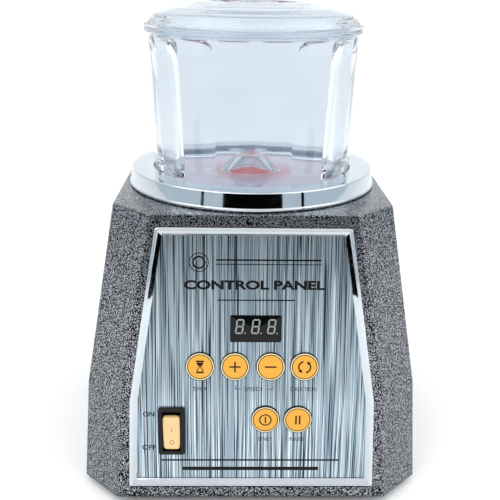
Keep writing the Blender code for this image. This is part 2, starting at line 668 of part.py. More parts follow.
def build_lid(mats):
    """Clear lid: low dome with a round recess in the middle, a flange and a skirt inside the rim."""
    skirt = 59.7
    outside = [(0.0, 269.7), (22.5, 269.7), (26.4, 272.0), (27.6, 277.6), (29.3, LID_TOP), (38.0, 277.9),
               (48.0, 275.9), (56.5, 273.2), (60.2, 270.7), (62.8, 267.6), (LIP_RADIUS, 266.5)]
    flange = [(LIP_RADIUS, LID_LOW), (skirt, LID_LOW), (skirt, LID_LOW - 4.3),
              (skirt - 1.8, LID_LOW - 4.3), (skirt - 1.8, 269.2)]
    inside = [(55.2, 271.3), (47.5, 273.8), (37.6, 275.8), (30.4, 276.7), (28.2, 271.2), (23.6, 267.7),
              (0.0, 267.7)]
    add_object("lid", turned(outside + flange + inside, FINE_STEPS), mats["clear_plastic"])


# ---------------------------------------------------------------- drive and power

def build_rotor(mats):
    """Shaft with its hub, aluminium disc and a ring of magnets with poles alternating."""
    shaft_low = MOTOR_PLATE_HIGH + 4.0
    shaft_top = ROTOR_HIGH + 2.0
    shaft_profile = [(0.0, shaft_low), (SHAFT_RADIUS, shaft_low), (SHAFT_RADIUS, HUB_LOW),
                     (HUB_RADIUS, HUB_LOW), (HUB_RADIUS, ROTOR_LOW - GAP), (SHAFT_RADIUS, ROTOR_LOW - GAP),
                     (SHAFT_RADIUS, shaft_top), (0.0, shaft_top)]
    add_object("rotor_shaft", turned(shaft_profile), mats["zinc_steel"])
    bore = SHAFT_RADIUS + GAP
    disc_profile = [(bore, ROTOR_LOW), (ROTOR_RADIUS - 0.8, ROTOR_LOW), (ROTOR_RADIUS, ROTOR_LOW + 0.8),
                    (ROTOR_RADIUS, ROTOR_HIGH - 0.8), (ROTOR_RADIUS - 0.8, ROTOR_HIGH), (bore, ROTOR_HIGH)]
    disc = add_object("rotor_disc", turned(disc_profile, FINE_STEPS, ring=True), mats["rotor_aluminium"])
    edge = 0.6
    face = MAGNET_RADIUS - edge
    magnet_profile = [(0.0, MAGNET_LOW), (face, MAGNET_LOW), (MAGNET_RADIUS, MAGNET_LOW + edge),
                      (MAGNET_RADIUS, MAGNET_TOP - edge), (face, MAGNET_TOP), (0.0, MAGNET_TOP)]
    first = None
    for index in range(MAGNET_COUNT):
        angle = 2.0 * math.pi * index / MAGNET_COUNT
        place = (MAGNET_CIRCLE * math.cos(angle), MAGNET_CIRCLE * math.sin(angle), 0.0)
        pocket = prism(circle(MAGNET_RADIUS + GAP, MAGNET_STEPS), MAGNET_LOW - GAP, ROTOR_HIGH + 2.0)
        cut(disc, pocket, f"guide_pocket_{index + 1}", location=place)
        if first is None:
            magnet = turned(magnet_profile, MAGNET_STEPS)
            first = add_object("magnet_1", magnet, mats["magnet_nickel"], location=place)
        else:
            copy_object(first, f"magnet_{index + 1}", place)


def build_motor(mats):
    """Motor hung under a steel plate that stands on four pillars."""
    top = MOTOR_PLATE_LOW - GAP
    cap = MOTOR_RADIUS - 1.2
    motor_profile = [(0.0, MOTOR_LOW), (MOTOR_BOSS, MOTOR_LOW), (MOTOR_BOSS, MOTOR_LOW + 3.0),
                     (MOTOR_RADIUS - 2.0, MOTOR_LOW + 3.0), (MOTOR_RADIUS, MOTOR_LOW + 5.0),
                     (MOTOR_RADIUS, top - 6.0), (cap, top - 5.0), (cap, top), (MOTOR_BOSS, top),
                     (MOTOR_BOSS, MOTOR_PLATE_HIGH + 2.0), (0.0, MOTOR_PLATE_HIGH + 2.0)]
    add_object("motor", turned(motor_profile, 32), mats["motor_steel"])
    outline = rectangle(2 * MOTOR_PLATE_HALF, 2 * MOTOR_PLATE_HALF, 8.0)
    plate = add_object("motor_plate", prism(outline, MOTOR_PLATE_LOW, MOTOR_PLATE_HIGH), mats["zinc_steel"],
                       smooth=False)
    boss_hole = prism(circle(MOTOR_BOSS + GAP, 32), MOTOR_PLATE_LOW - 2.0, MOTOR_PLATE_HIGH + 2.0)
    cut(plate, boss_hole, "guide_motor_hole")
    foot, tip = PLATE_HIGH + GAP, MOTOR_PLATE_HIGH + 6.0
    pillar_profile = [(0.0, foot), (PILLAR_RADIUS, foot), (PILLAR_RADIUS, top), (STUD_RADIUS, top),
                      (STUD_RADIUS, tip), (0.0, tip)]
    nut_low = MOTOR_PLATE_HIGH + GAP
    corners = {"front_left": (-1, -1), "front_right": (1, -1), "back_left": (-1, 1), "back_right": (1, 1)}
    for corner, (sx, sy) in corners.items():
        place = (sx * PILLAR_SPREAD, sy * PILLAR_SPREAD, 0.0)
        hole = prism(circle(STUD_RADIUS + GAP, SCREW_STEPS), MOTOR_PLATE_LOW - 2.0, MOTOR_PLATE_HIGH + 2.0)
        cut(plate, hole, f"guide_stud_hole_{corner}", location=place)
        pillar = turned(pillar_profile, SCREW_STEPS)
        add_object(f"pillar_{corner}", pillar, mats["zinc_steel"], location=place)
        nut = add_object(f"pillar_nut_{corner}", prism(circle(4.0, 6), nut_low, nut_low + 3.2),
                         mats["zinc_steel"], location=place, smooth=False)
        cut(nut, prism(circle(STUD_RADIUS + GAP, SCREW_STEPS), nut_low - 2.0, nut_low + 6.0),
            f"guide_nut_bore_{corner}", location=place)


def build_power(mats, frames):
    """Power supply and motor driver on the floor, mains inlet in the back wall."""
    floor = PLATE_HIGH + GAP
    width, depth, height = SUPPLY_SIZE
    supply = prism(rectangle(width, depth, 2.0, SUPPLY_CENTRE), floor, floor + height)
    add_object("power_supply", supply, mats["black_plastic"], smooth=False)
    width, depth, height = DRIVER_SIZE
    driver = prism(rectangle(width, depth, 2.0, DRIVER_CENTRE), floor, floor + height)
    heat_sink = add_object("motor_driver", driver, mats["rotor_aluminium"], smooth=False)
    for number, x in enumerate(DRIVER_GROOVES):
        outline = rectangle(3.0, depth + 10.0, 0.0, (x, DRIVER_CENTRE[1]))
        groove = prism(outline, floor + height - 10.0, floor + height + 4.0)
        cut(heat_sink, groove, f"guide_groove_{number}")
    parent = frames["rear_lower"]
    across, along = INLET_CENTRE
    flange = prism(rectangle(*INLET_FLANGE, 5.0, INLET_CENTRE), GAP, INLET_FLANGE_TOP)
    inlet = add_object("power_inlet", flange, mats["black_plastic"], parent, smooth=False)
    join(inlet, prism(rectangle(*INLET_BODY, 2.0, INLET_CENTRE), -20.0, 1.0), "guide_inlet_body", parent)
    socket = [(across - 12.0, along - 8.0), (across + 12.0, along - 8.0), (across + 12.0, along + 3.0),
              (across + 7.0, along + 8.0), (across - 7.0, along + 8.0), (across - 12.0, along + 3.0)]
    cut(inlet, prism(rounded(socket, [1.0] * 6), -15.0, 6.0), "guide_inlet_socket", parent)
    for number, (x, y) in enumerate(INLET_PINS):
        pin = prism(rectangle(4.0, 2.0, 0.0, (across + x, along + y)), -17.0, -4.0)
        join(inlet, pin, f"guide_inlet_pin_{number}", parent)
    for label, side in (("left", -1), ("right", 1)):
        place = (across + side * INLET_SCREW_SPREAD, along, 0.0)
        hole = prism(circle(SCREW_HOLE_RADIUS, SCREW_STEPS), -2.0, 6.0)
        cut(inlet, hole, f"guide_inlet_flange_hole_{label}", parent, place)
        place = (place[0], place[1], INLET_FLANGE_TOP)
        add_object(f"inlet_screw_{label}", screw(INLET_SCREW_LENGTH), mats["zinc_steel"], parent, place)


def main():
    """Build the machine from the housing outwards."""
    clear_scene()
    mats = make_materials()
    frames = {
        "front_upper": face_frame("front_upper_frame", 0.0, UPPER_LEAN),
        "front_lower": face_frame("front_lower_frame", 0.0, LOWER_LEAN),
        "rear_upper": face_frame("rear_upper_frame", math.pi, UPPER_LEAN),
        "rear_lower": face_frame("rear_lower_frame", math.pi, LOWER_LEAN),
        "right": face_frame("right_frame", math.pi / 2.0, LOWER_LEAN),
        "left": face_frame("left_frame", -math.pi / 2.0, LOWER_LEAN),
    }
    build_housing(mats, frames)
    build_base(mats, frames)
    build_side_screws(mats, frames)
    build_panel(mats, frames)
    build_buttons(mats, frames)
    build_display(mats, frames)
    build_rocker(mats, frames)
    build_seat(mats)
    build_bowl(mats)
    build_lid(mats)
    build_rotor(mats)
    build_motor(mats)
    build_power(mats, frames)


main()
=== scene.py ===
import json
import math

import bmesh
import bpy
import numpy as np
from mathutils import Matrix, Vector

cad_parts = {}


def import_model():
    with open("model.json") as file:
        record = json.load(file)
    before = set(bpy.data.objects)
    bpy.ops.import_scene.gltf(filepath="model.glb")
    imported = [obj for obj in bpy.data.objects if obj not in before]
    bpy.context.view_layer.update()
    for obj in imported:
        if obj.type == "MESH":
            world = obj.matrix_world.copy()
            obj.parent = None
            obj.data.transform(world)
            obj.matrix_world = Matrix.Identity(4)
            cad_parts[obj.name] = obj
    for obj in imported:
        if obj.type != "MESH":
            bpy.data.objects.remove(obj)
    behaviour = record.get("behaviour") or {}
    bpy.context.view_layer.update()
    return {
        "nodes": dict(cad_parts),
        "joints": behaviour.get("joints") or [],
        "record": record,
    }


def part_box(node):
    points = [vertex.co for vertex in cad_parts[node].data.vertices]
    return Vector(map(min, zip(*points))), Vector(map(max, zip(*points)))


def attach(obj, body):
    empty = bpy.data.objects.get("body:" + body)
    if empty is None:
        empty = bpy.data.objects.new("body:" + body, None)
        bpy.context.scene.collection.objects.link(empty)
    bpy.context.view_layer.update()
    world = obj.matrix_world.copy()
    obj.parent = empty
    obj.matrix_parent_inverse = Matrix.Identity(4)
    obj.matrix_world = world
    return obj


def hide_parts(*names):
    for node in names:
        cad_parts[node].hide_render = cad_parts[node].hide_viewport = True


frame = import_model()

MM = 0.001
MERGE = 1e-6                 # metres: points closer than this are one point
FINE = 256                   # steps round the large turned pieces
SMALL = 64                   # steps round keys and feet
INK = 0.04                   # thickness of printed marks


# ------------------------------------------------------------------ what the frame says

def box_mm(node):
    """Lowest and highest corner of a CAD node, in millimetres."""
    low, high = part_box(node)
    return np.array(low) / MM, np.array(high) / MM


def points_mm(node):
    """Every vertex of a CAD node, in millimetres, as an N x 3 array."""
    mesh = frame["nodes"][node].data
    flat = np.empty(len(mesh.vertices) * 3, np.float32)
    mesh.vertices.foreach_get("co", flat)
    return flat.reshape(-1, 3).astype(float) / MM


def up_slope(outward):
    """Unit vector up a front plane whose normal is given: the normal turned a quarter about X."""
    return np.array([0.0, outward[2], -outward[1]])


joints = {joint["name"]: joint for joint in frame["joints"]}
slot_of = {part["node"]: part["material_slot"] for part in frame["record"]["subparts"]}

# The front is two planes that meet on a level bend; the keys of each row press along their plane's normal.
OUT_HIGH = -np.array(joints["press_timer"]["axis"], float)
OUT_LOW = -np.array(joints["press_start"]["axis"], float)
UP_HIGH, UP_LOW = up_slope(OUT_HIGH), up_slope(OUT_LOW)
panel_points = points_mm("front_panel")
PLANE_HIGH = (panel_points @ OUT_HIGH).max()
PLANE_LOW = (panel_points @ OUT_LOW).max()
BEND = np.array([0.0, *np.linalg.solve([OUT_HIGH[1:], OUT_LOW[1:]], [PLANE_HIGH, PLANE_LOW])])
MITRE = np.array([0.0, *np.linalg.solve([OUT_HIGH[1:], OUT_LOW[1:]], [1.0, 1.0])])


def on_panel(points):
    """(across, along, outward) to the row frame: along runs up the slope from the bend, outward leaves the
    panel's face; points exactly on the bend go out along the mitre of both normals."""
    across, along, outward = np.moveaxis(np.asarray(points, float), -1, 0)
    flat = np.abs(along) < 1e-6
    high = (along > 0)[..., None]
    out = np.where(flat[..., None], MITRE, np.where(high, OUT_HIGH, OUT_LOW))
    climb = np.where(high, UP_HIGH, UP_LOW)
    sideways = across[..., None] * np.array([1.0, 0.0, 0.0])
    return BEND + along[..., None] * climb + outward[..., None] * out + sideways


def off_panel(points):
    """The inverse of on_panel for points of either plane: (across, along, outward)."""
    rel = np.asarray(points, float) - BEND
    high = rel @ UP_HIGH > 0
    along = np.where(high, rel @ UP_HIGH, rel @ UP_LOW)
    outward = np.where(high, rel @ OUT_HIGH, rel @ OUT_LOW)
    return np.stack([rel[..., 0], along, outward], -1)


def panel_box(node):
    """Centre and extent of a CAD node in panel coordinates."""
    local = off_panel(points_mm(node))
    return (local.min(0) + local.max(0)) / 2.0, local.min(0), local.max(0)


# ------------------------------------------------------------------ surfaces

def skin(rings, loop=False):
    """Quads between neighbouring closed rings (K x M x 3); loop joins the last ring to the first, otherwise
    each end ring is closed by a fan about its mean point."""
    rings = np.asarray(rings, float)
    count, steps = rings.shape[:2]
    index = np.arange(count * steps).reshape(count, steps)
    if loop:
        index = np.vstack([index, index[:1]])
    low, high = index[:-1], index[1:]
    quads = np.stack([low, np.roll(low, -1, 1), np.roll(high, -1, 1), high], -1).reshape(-1, 4)
    points, faces = rings.reshape(-1, 3), quads.tolist()
    if not loop:
        for ring in (index[0], index[-1]):
            points = np.vstack([points, points[ring].mean(0)])
            faces += np.stack([ring, np.roll(ring, -1), np.full(steps, len(points) - 1)], -1).tolist()
    return points, faces


def gather(*shapes):
    """Several (points, faces) shapes as one."""
    points, faces, start = [], [], 0
    for some, these in shapes:
        points.append(some)
        faces += [[start + i for i in face] for face in these]
        start += len(some)
    return np.vstack(points), faces


def moved(shape, place):
    """A shape with its points put through a function."""
    return place(shape[0]), shape[1]


def filleted(points, radii, steps=6, closed=False):
    """Polyline with round corners: between the two tangent points of a corner runs the quadratic curve whose
    middle control point is the corner itself."""
    points = np.asarray(points, float)
    radii = np.broadcast_to(radii, len(points))
    share = np.linspace(0.0, 1.0, steps + 1)[:, None]
    out = []
    for number, (here, radius) in enumerate(zip(points, radii)):
        if radius <= 0.0 or (not closed and number in (0, len(points) - 1)):
            out.append(here[None])
            continue
        back = points[number - 1] - here
        ahead = points[(number + 1) % len(points)] - here
        back_length, ahead_length = np.linalg.norm(back), np.linalg.norm(ahead)
        back, ahead = back / back_length, ahead / ahead_length
        half = math.acos(np.clip(back @ ahead, -1.0, 1.0)) / 2.0
        reach = min(radius / math.tan(half), 0.49 * back_length, 0.49 * ahead_length)
        out.append((1 - share) ** 2 * (here + back * reach) + 2 * share * (1 - share) * here
                   + share ** 2 * (here + ahead * reach))
    return np.vstack(out)


def turned(profile, steps=FINE, centre=(0.0, 0.0), ring=False):
    """Surface of revolution: each (radius, height) goes round a vertical axis through centre; a ring profile
    is closed in itself, any other starts and ends on the axis."""
    profile = np.asarray(profile, float)
    angle = np.arange(steps) * 2.0 * math.pi / steps
    radius, height = profile[:, :1], profile[:, 1:]
    rings = np.stack([centre[0] + radius * np.cos(angle), centre[1] + radius * np.sin(angle),
                      height + 0.0 * angle], -1)
    return skin(rings, loop=ring)


def rectangle(width, height, radius, centre=(0.0, 0.0), steps=6):
    """Rounded rectangle, anticlockwise, as N x 2 points."""
    half = np.array([width, height]) / 2.0
    corners = np.array([(-1, -1), (1, -1), (1, 1), (-1, 1)]) * half + np.asarray(centre)
    return filleted(corners, radius, steps, closed=True)


def slab(outline, layers):
    """Solid through copies of a flat outline: each layer is (growth, height), the outline being moved out
    along its own normals by growth."""
    outline = np.asarray(outline, float)
    along = np.roll(outline, -1, 0) - np.roll(outline, 1, 0)
    normal = np.stack([along[:, 1], -along[:, 0]], -1)
    normal /= np.maximum(np.linalg.norm(normal, axis=1, keepdims=True), 1e-9)
    rings = [np.column_stack([outline + growth * normal, np.full(len(outline), height)])
             for growth, height in layers]
    return skin(rings)


def edge(high, radius, steps=4):
    """Layers for a rounded top edge: a quarter circle of that radius, from the side up to the face."""
    angle = np.linspace(0.0, math.pi / 2.0, steps + 1)
    return list(zip(radius * (np.cos(angle) - 1.0), high - radius + radius * np.sin(angle)))


def stroke(path, width, low, high, closed=False):
    """Printed line: a flat bar of one width that follows a path; its sides are the path moved to the left and
    right along its normals."""
    path = np.asarray(path, float)
    if closed:
        along = np.roll(path, -1, 0) - np.roll(path, 1, 0)
    else:
        along = np.gradient(path, axis=0)
    normal = np.stack([-along[:, 1], along[:, 0]], -1)
    normal *= width / 2.0 / np.linalg.norm(normal, axis=1, keepdims=True)
    sides = [(path + normal, low), (path - normal, low), (path - normal, high), (path + normal, high)]
    rings = np.stack([np.column_stack([side, np.full(len(path), z)]) for side, z in sides], 1)
    return skin(rings, loop=closed)


def plate(outline, low, high):
    """Flat outline given a thickness."""
    return slab(outline, [(0.0, low), (0.0, high)])


def arc(radius, start, end, steps=24, centre=(0.0, 0.0)):
    """Points on a circle between two angles, in degrees."""
    angle = np.radians(np.linspace(start, end, steps + 1))
    return np.stack([centre[0] + radius * np.cos(angle), centre[1] + radius * np.sin(angle)], -1)


def lettering(words, width, height, weight=0.0, low=0.0, high=INK):
    """Letters with a thickness, fitted to a width and a cap height about the origin."""
    curve = bpy.data.curves.new("letters", "FONT")
    curve.body, curve.extrude, curve.offset, curve.resolution_u = words, 0.5, weight, 4
    holder = placed("letters", curve)
    bpy.context.view_layer.update()
    mesh = bpy.data.meshes.new_from_object(holder.evaluated_get(bpy.context.evaluated_depsgraph_get()))
    flat = np.empty(len(mesh.vertices) * 3, np.float32)
    mesh.vertices.foreach_get("co", flat)
    points = flat.reshape(-1, 3).astype(float)
    faces = [list(polygon.vertices) for polygon in mesh.polygons]
    bpy.data.objects.remove(holder)
    bpy.data.curves.remove(curve)
    bpy.data.meshes.remove(mesh)
    size, middle = np.ptp(points, axis=0), (points.min(0) + points.max(0)) / 2.0
    points = (points - middle) / size * np.array([width, height, high - low])
    return points + np.array([0.0, 0.0, (low + high) / 2.0]), faces


# ------------------------------------------------------------------ pieces

def placed(name, data):
    """New object at the origin of the scene."""
    obj = bpy.data.objects.new(name, data)
    bpy.context.scene.collection.objects.link(obj)
    return obj


def shaded(obj, angle):
    """Smooth shading that breaks where two faces meet at more than an angle."""
    obj.data.shade_smooth()
    obj.data.set_sharp_from_angle(angle=math.radians(angle))


def piece(name, shape, finish, body, stands_for=(), sharp=35.0):
    """One named mesh from points in millimetres, closed, facing outwards and tied to the frame."""
    points, faces = shape
    mesh = bpy.data.meshes.new(name)
    mesh.from_pydata((np.asarray(points) * MM).tolist(), [], faces)
    solid = bmesh.new()
    solid.from_mesh(mesh)
    bmesh.ops.remove_doubles(solid, verts=solid.verts, dist=MERGE)
    bmesh.ops.recalc_face_normals(solid, faces=solid.faces)
    solid.to_mesh(mesh)
    solid.free()
    mesh.materials.append(finish)
    obj = placed(name, mesh)
    shaded(obj, sharp)
    return tied(obj, body, stands_for)


def tied(obj, body, stands_for=()):
    """Rides on its body and stands for its CAD nodes."""
    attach(obj, body)
    if stands_for:
        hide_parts(*stands_for)
    return obj


def refined(node, name, finish, body, bevel, sharp=30.0):
    """Copy of a CAD node with its flat faces merged, its edges rolled over by a live bevel and its normals
    weighted by face area, so that folds and moulded edges catch the light."""
    mesh = frame["nodes"][node].data.copy()
    solid = bmesh.new()
    solid.from_mesh(mesh)
    bmesh.ops.remove_doubles(solid, verts=solid.verts, dist=1e-5)
    bmesh.ops.dissolve_limit(solid, angle_limit=math.radians(0.6), verts=solid.verts, edges=solid.edges)
    bmesh.ops.recalc_face_normals(solid, faces=solid.faces)
    solid.to_mesh(mesh)
    solid.free()
    mesh.name = name
    mesh.materials.clear()
    mesh.materials.append(finish)
    obj = placed(name, mesh)
    mesh.shade_smooth()
    roll = obj.modifiers.new("rolled edges", "BEVEL")
    roll.width, roll.segments, roll.limit_method = bevel * MM, 3, "ANGLE"
    roll.angle_limit = math.radians(sharp)
    weights = obj.modifiers.new("face weights", "WEIGHTED_NORMAL")
    weights.keep_sharp = True
    return tied(obj, body, [node])


# ------------------------------------------------------------------ material tools

def linear(code):
    """sRGB hex colour as linear RGBA."""
    parts = [int(code[i:i + 2], 16) / 255.0 for i in (1, 3, 5)]
    return (*[v / 12.92 if v <= 0.04045 else ((v + 0.055) / 1.055) ** 2.4 for v in parts], 1.0)


def add(tree, kind, settings=None, inputs=None, links=None):
    """Adds one node: settings are its own properties, inputs the values of its sockets, links the sockets
    that feed it."""
    made = tree.nodes.new(kind)
    for name, value in (settings or {}).items():
        setattr(made, name, value)
    for name, value in (inputs or {}).items():
        made.inputs[name].default_value = value
    for name, source in (links or {}).items():
        tree.links.new(source, made.inputs[name])
    return made


def finish(name, colour, roughness, **sockets):
    """A Principled material with constant sockets, whose names have _ for a space."""
    made = bpy.data.materials.new(name)
    made.use_nodes = True
    tree = made.node_tree
    shader = tree.nodes["Principled BSDF"]
    shader.inputs["Base Color"].default_value = linear(colour)
    shader.inputs["Roughness"].default_value = roughness
    for socket, value in sockets.items():
        shader.inputs[socket.replace("_", " ")].default_value = value
    where = add(tree, "ShaderNodeTexCoord")
    return made, tree, shader, where.outputs["Object"]


def noise(size, detail=2.0, rough=0.5):
    """Inputs of a noise whose blobs are about size millimetres across."""
    return {"Scale": 0.8 / (size * MM), "Detail": detail, "Roughness": rough}


def surface_noise(tree, shader, where, size, depth, rough_low, rough_high, detail=2.0):
    """Shared finish of moulded and worked surfaces: one noise of a real size lifts the surface by depth
    (millimetres) and moves the roughness between two values."""
    grain = add(tree, "ShaderNodeTexNoise", inputs=noise(size, detail), links={"Vector": where})
    rough = add(tree, "ShaderNodeMapRange", links={"Value": grain.outputs["Fac"]}, inputs={
        "From Min": 0.3, "From Max": 0.7, "To Min": rough_low, "To Max": rough_high})
    bump = add(tree, "ShaderNodeBump", inputs={"Strength": 1.0, "Distance": depth * MM},
               links={"Height": grain.outputs["Fac"]})
    tree.links.new(rough.outputs["Result"], shader.inputs["Roughness"])
    tree.links.new(bump.outputs["Normal"], shader.inputs["Normal"])
    return grain


def stepped(tree, value, low, high):
    """Smooth step of a socket from 0 at low to 1 at high."""
    return add(tree, "ShaderNodeMapRange", {"interpolation_type": "SMOOTHSTEP"},
               {"From Min": low, "From Max": high}, {"Value": value}).outputs["Result"]


def mixed(tree, factor, first, second):
    """Mix of two colours, each a hex code or a socket."""
    ends = {6: first, 7: second}
    codes = {place: linear(end) for place, end in ends.items() if isinstance(end, str)}
    sockets = {place: end for place, end in ends.items() if not isinstance(end, str)}
    return add(tree, "ShaderNodeMix", {"data_type": "RGBA"}, codes, {0: factor, **sockets}).outputs[2]


def grained(name, first, second, size, depth, rough_low, rough_high, **sockets):
    """Moulded, plated, worked or printed surface: one noise of size millimetres lifts it by depth, moves its
    roughness between two values and lets its colour drift between two hex colours."""
    made, tree, shader, where = finish(name, first, rough_low, **sockets)
    grain = surface_noise(tree, shader, where, size, depth, rough_low, rough_high)
    tree.links.new(mixed(tree, grain.outputs["Fac"], first, second), shader.inputs["Base Color"])
    return made


# ------------------------------------------------------------------ materials

def hammertone_enamel():
    """Stoved hammertone enamel on sheet steel: aluminium flake gathers in silver worms between near-black
    valleys, about a millimetre and a half apart, under a glossy skin that dips into the valleys."""
    made, tree, shader, where = finish("hammertone_enamel", "#55565A", 0.26, Metallic=0.94, Coat_Weight=0.15,
                                       Coat_Roughness=0.12)
    cells = add(tree, "ShaderNodeTexNoise", inputs=noise(0.52, 1.0, 0.35), links={"Vector": where})
    worms = stepped(tree, cells.outputs["Fac"], 0.49, 0.57)
    flake = add(tree, "ShaderNodeTexNoise", inputs=noise(0.25, 1.0), links={"Vector": where})
    silver = mixed(tree, flake.outputs["Fac"], "#70747B", "#D2D7DD")
    bump = add(tree, "ShaderNodeBump", inputs={"Strength": 1.0, "Distance": 0.032 * MM},
               links={"Height": worms})
    tree.links.new(mixed(tree, worms, "#050507", silver), shader.inputs["Base Color"])
    tree.links.new(bump.outputs["Normal"], shader.inputs["Normal"])
    return made


def streaks(tree, where, width, low, high):
    """Lines that run the height of the panel, about width millimetres apart: a noise stretched lengthwise,
    cut off softly between two of its values."""
    lengthwise = add(tree, "ShaderNodeMapping", inputs={"Scale": (1.0, 0.006, 0.006)},
                     links={"Vector": where})
    grain = add(tree, "ShaderNodeTexNoise", inputs=noise(width, 0.0), links={"Vector": lengthwise.outputs[0]})
    return stepped(tree, grain.outputs["Fac"], low, high)


def brushed_panel():
    """Stainless sheet with a long vertical grain: broad soft bands, thin dark scratches close together and
    fewer bright ones, all running the full height."""
    made, tree, shader, where = finish("brushed_stainless_sheet", "#9FB0BD", 0.30, Metallic=0.80)
    bands = mixed(tree, streaks(tree, where, 1.9, 0.30, 0.70), "#94A7B4", "#ACBEC9")
    dark = mixed(tree, streaks(tree, where, 0.32, 0.50, 0.60), bands, "#2C3A48")
    bright = mixed(tree, streaks(tree, where, 0.36, 0.57, 0.72), dark, "#DDEAF0")
    tree.links.new(bright, shader.inputs["Base Color"])
    bump = add(tree, "ShaderNodeBump", inputs={"Strength": 0.5, "Distance": 0.006 * MM},
               links={"Height": streaks(tree, where, 0.42, 0.3, 0.7)})
    tree.links.new(bump.outputs["Normal"], shader.inputs["Normal"])
    return made


def seat_rubber():
    """Silicone sheet, red in the middle where the boss stands, turning pale pink further out, with a plum
    border."""
    made, tree, shader, where = finish("red_silicone_sheet", "#D8313A", 0.5)
    surface_noise(tree, shader, where, 2.0, 0.02, 0.42, 0.6)
    radius = add(tree, "ShaderNodeVectorMath", {"operation": "LENGTH"})
    flat = add(tree, "ShaderNodeVectorMath", {"operation": "MULTIPLY"}, {1: (1.0, 1.0, 0.0)}, {0: where})
    tree.links.new(flat.outputs["Vector"], radius.inputs[0])
    red_to_pale_pink = mixed(tree, stepped(tree, radius.outputs["Value"], 12.0 * MM, 34.0 * MM), "#D9202C", "#EBCBD8")
    border = add(tree, "ShaderNodeMapRange", None, {"From Min": 49.5 * MM, "From Max": 51.0 * MM},
                 {"Value": radius.outputs["Value"]})
    plum = mixed(tree, border.outputs["Result"], red_to_pale_pink, "#B07A92")
    tree.links.new(plum, shader.inputs["Base Color"])
    return made


HAMMERTONE = hammertone_enamel()
PANEL = brushed_panel()
SEAT = seat_rubber()

# Columns of grained: name, two colours, blob size and depth in millimetres, two roughnesses.
# Chrome: a polished mirror with the faintest orange peel and wipe marks.
CHROME = grained("polished_chrome_plate", "#C6CED5", "#D5DCE2", 6.0, 0.004, 0.03, 0.08, Metallic=1.0)
# Acrylic: clear, injection moulded, bends what is behind it and has slight flow waves.
CLEAR = grained("clear_moulded_acrylic", "#E0E7ED", "#E8EDF1", 18.0, 0.01, 0.0, 0.02, Transmission_Weight=1.0,
                IOR=1.49)
# Inks: dense and faintly uneven in gloss, screened on the panel and pad-printed on keys and rocker.
BLACK_INK = grained("black_screen_ink", "#050608", "#0E0F12", 1.5, 0.003, 0.38, 0.55, Specular_IOR_Level=0.2)
BROWN_INK = grained("brown_pad_ink", "#1E0E02", "#2C1605", 0.8, 0.003, 0.4, 0.55, Specular_IOR_Level=0.2)
ORANGE_INK = grained("orange_pad_ink", "#A9641F", "#C47C35", 0.8, 0.003, 0.4, 0.55)
# Plastics and rubber: a spark-eroded skin of fine pits and a colour that hardly drifts.
ORANGE = grained("orange_abs_key", "#DE9A22", "#E8AB3A", 0.6, 0.008, 0.29, 0.43, IOR=1.54)
CREAM = grained("cream_abs_rim", "#EFDCA8", "#F6E8C0", 0.6, 0.006, 0.31, 0.45, IOR=1.54)
ROCKER_CREAM = grained("cream_polycarbonate_rocker", "#E8C184", "#EFCD97", 0.8, 0.006, 0.27, 0.41, IOR=1.585)
BLACK = grained("black_abs_moulding", "#070708", "#0E0E10", 0.7, 0.012, 0.35, 0.49, IOR=1.54,
                Specular_IOR_Level=0.25)
RUBBER = grained("black_nitrile_rubber", "#121213", "#1D1D1F", 0.9, 0.03, 0.63, 0.77)
BOARD = grained("green_solder_resist", "#0B3D22", "#125232", 1.2, 0.01, 0.33, 0.47)
# Display: smoke-tinted acrylic, cast and glossy, and milky epoxy for the unlit segments.
SMOKED = grained("smoked_acrylic", "#040506", "#0C0E10", 5.0, 0.004, 0.04, 0.12, IOR=1.49,
                 Specular_IOR_Level=0.25)
SEGMENT = grained("milky_epoxy_segment", "#7E8282", "#9A9E9D", 0.9, 0.002, 0.4, 0.6)
# Metals: plated, turned or phosphated, each with the fine grain of how it was worked.
ZINC = grained("zinc_plated_steel", "#A9ACB0", "#C4C7CA", 3.0, 0.006, 0.24, 0.42, Metallic=1.0)
BRASS = grained("nickelled_brass_blade", "#BFA873", "#D8C590", 1.2, 0.004, 0.22, 0.4, Metallic=1.0)
ALUMINIUM = grained("turned_aluminium", "#B9BCC0", "#D2D4D7", 1.0, 0.008, 0.22, 0.4, Metallic=1.0)
MAGNET = grained("nickel_plated_magnet", "#A9A49A", "#C0BBB0", 2.0, 0.004, 0.12, 0.3, Metallic=1.0)
MOTOR = grained("phosphated_motor_steel", "#4C4F54", "#666A70", 1.6, 0.01, 0.34, 0.52, Metallic=1.0)

FINISH_OF_SLOT = {
    "hammertone": HAMMERTONE, "chrome": CHROME, "clear_plastic": CLEAR, "panel_metal": PANEL,
    "zinc_steel": ZINC, "orange_plastic": ORANGE, "cream_plastic": CREAM, "black_plastic": BLACK,
    "display_tint": SMOKED, "board_green": BOARD, "red_rubber": SEAT, "black_rubber": RUBBER,
    "rotor_aluminium": ALUMINIUM, "magnet_nickel": MAGNET, "motor_steel": MOTOR,
}
for node, obj in frame["nodes"].items():
    if not obj.material_slots:
        obj.data.materials.append(None)
    for holder in obj.material_slots:
        holder.material = FINISH_OF_SLOT[slot_of[node]]


# ------------------------------------------------------------------ housing

refined("housing_shell", "housing_skin", HAMMERTONE, "chassis", 0.35)
refined("base_plate", "floor_plate", ZINC, "chassis", 0.3)
refined("rocker_bezel", "rocker_frame", BLACK, "chassis", 0.55)
refined("power_inlet", "mains_inlet", BLACK, "chassis", 0.5)


# ------------------------------------------------------------------ seat

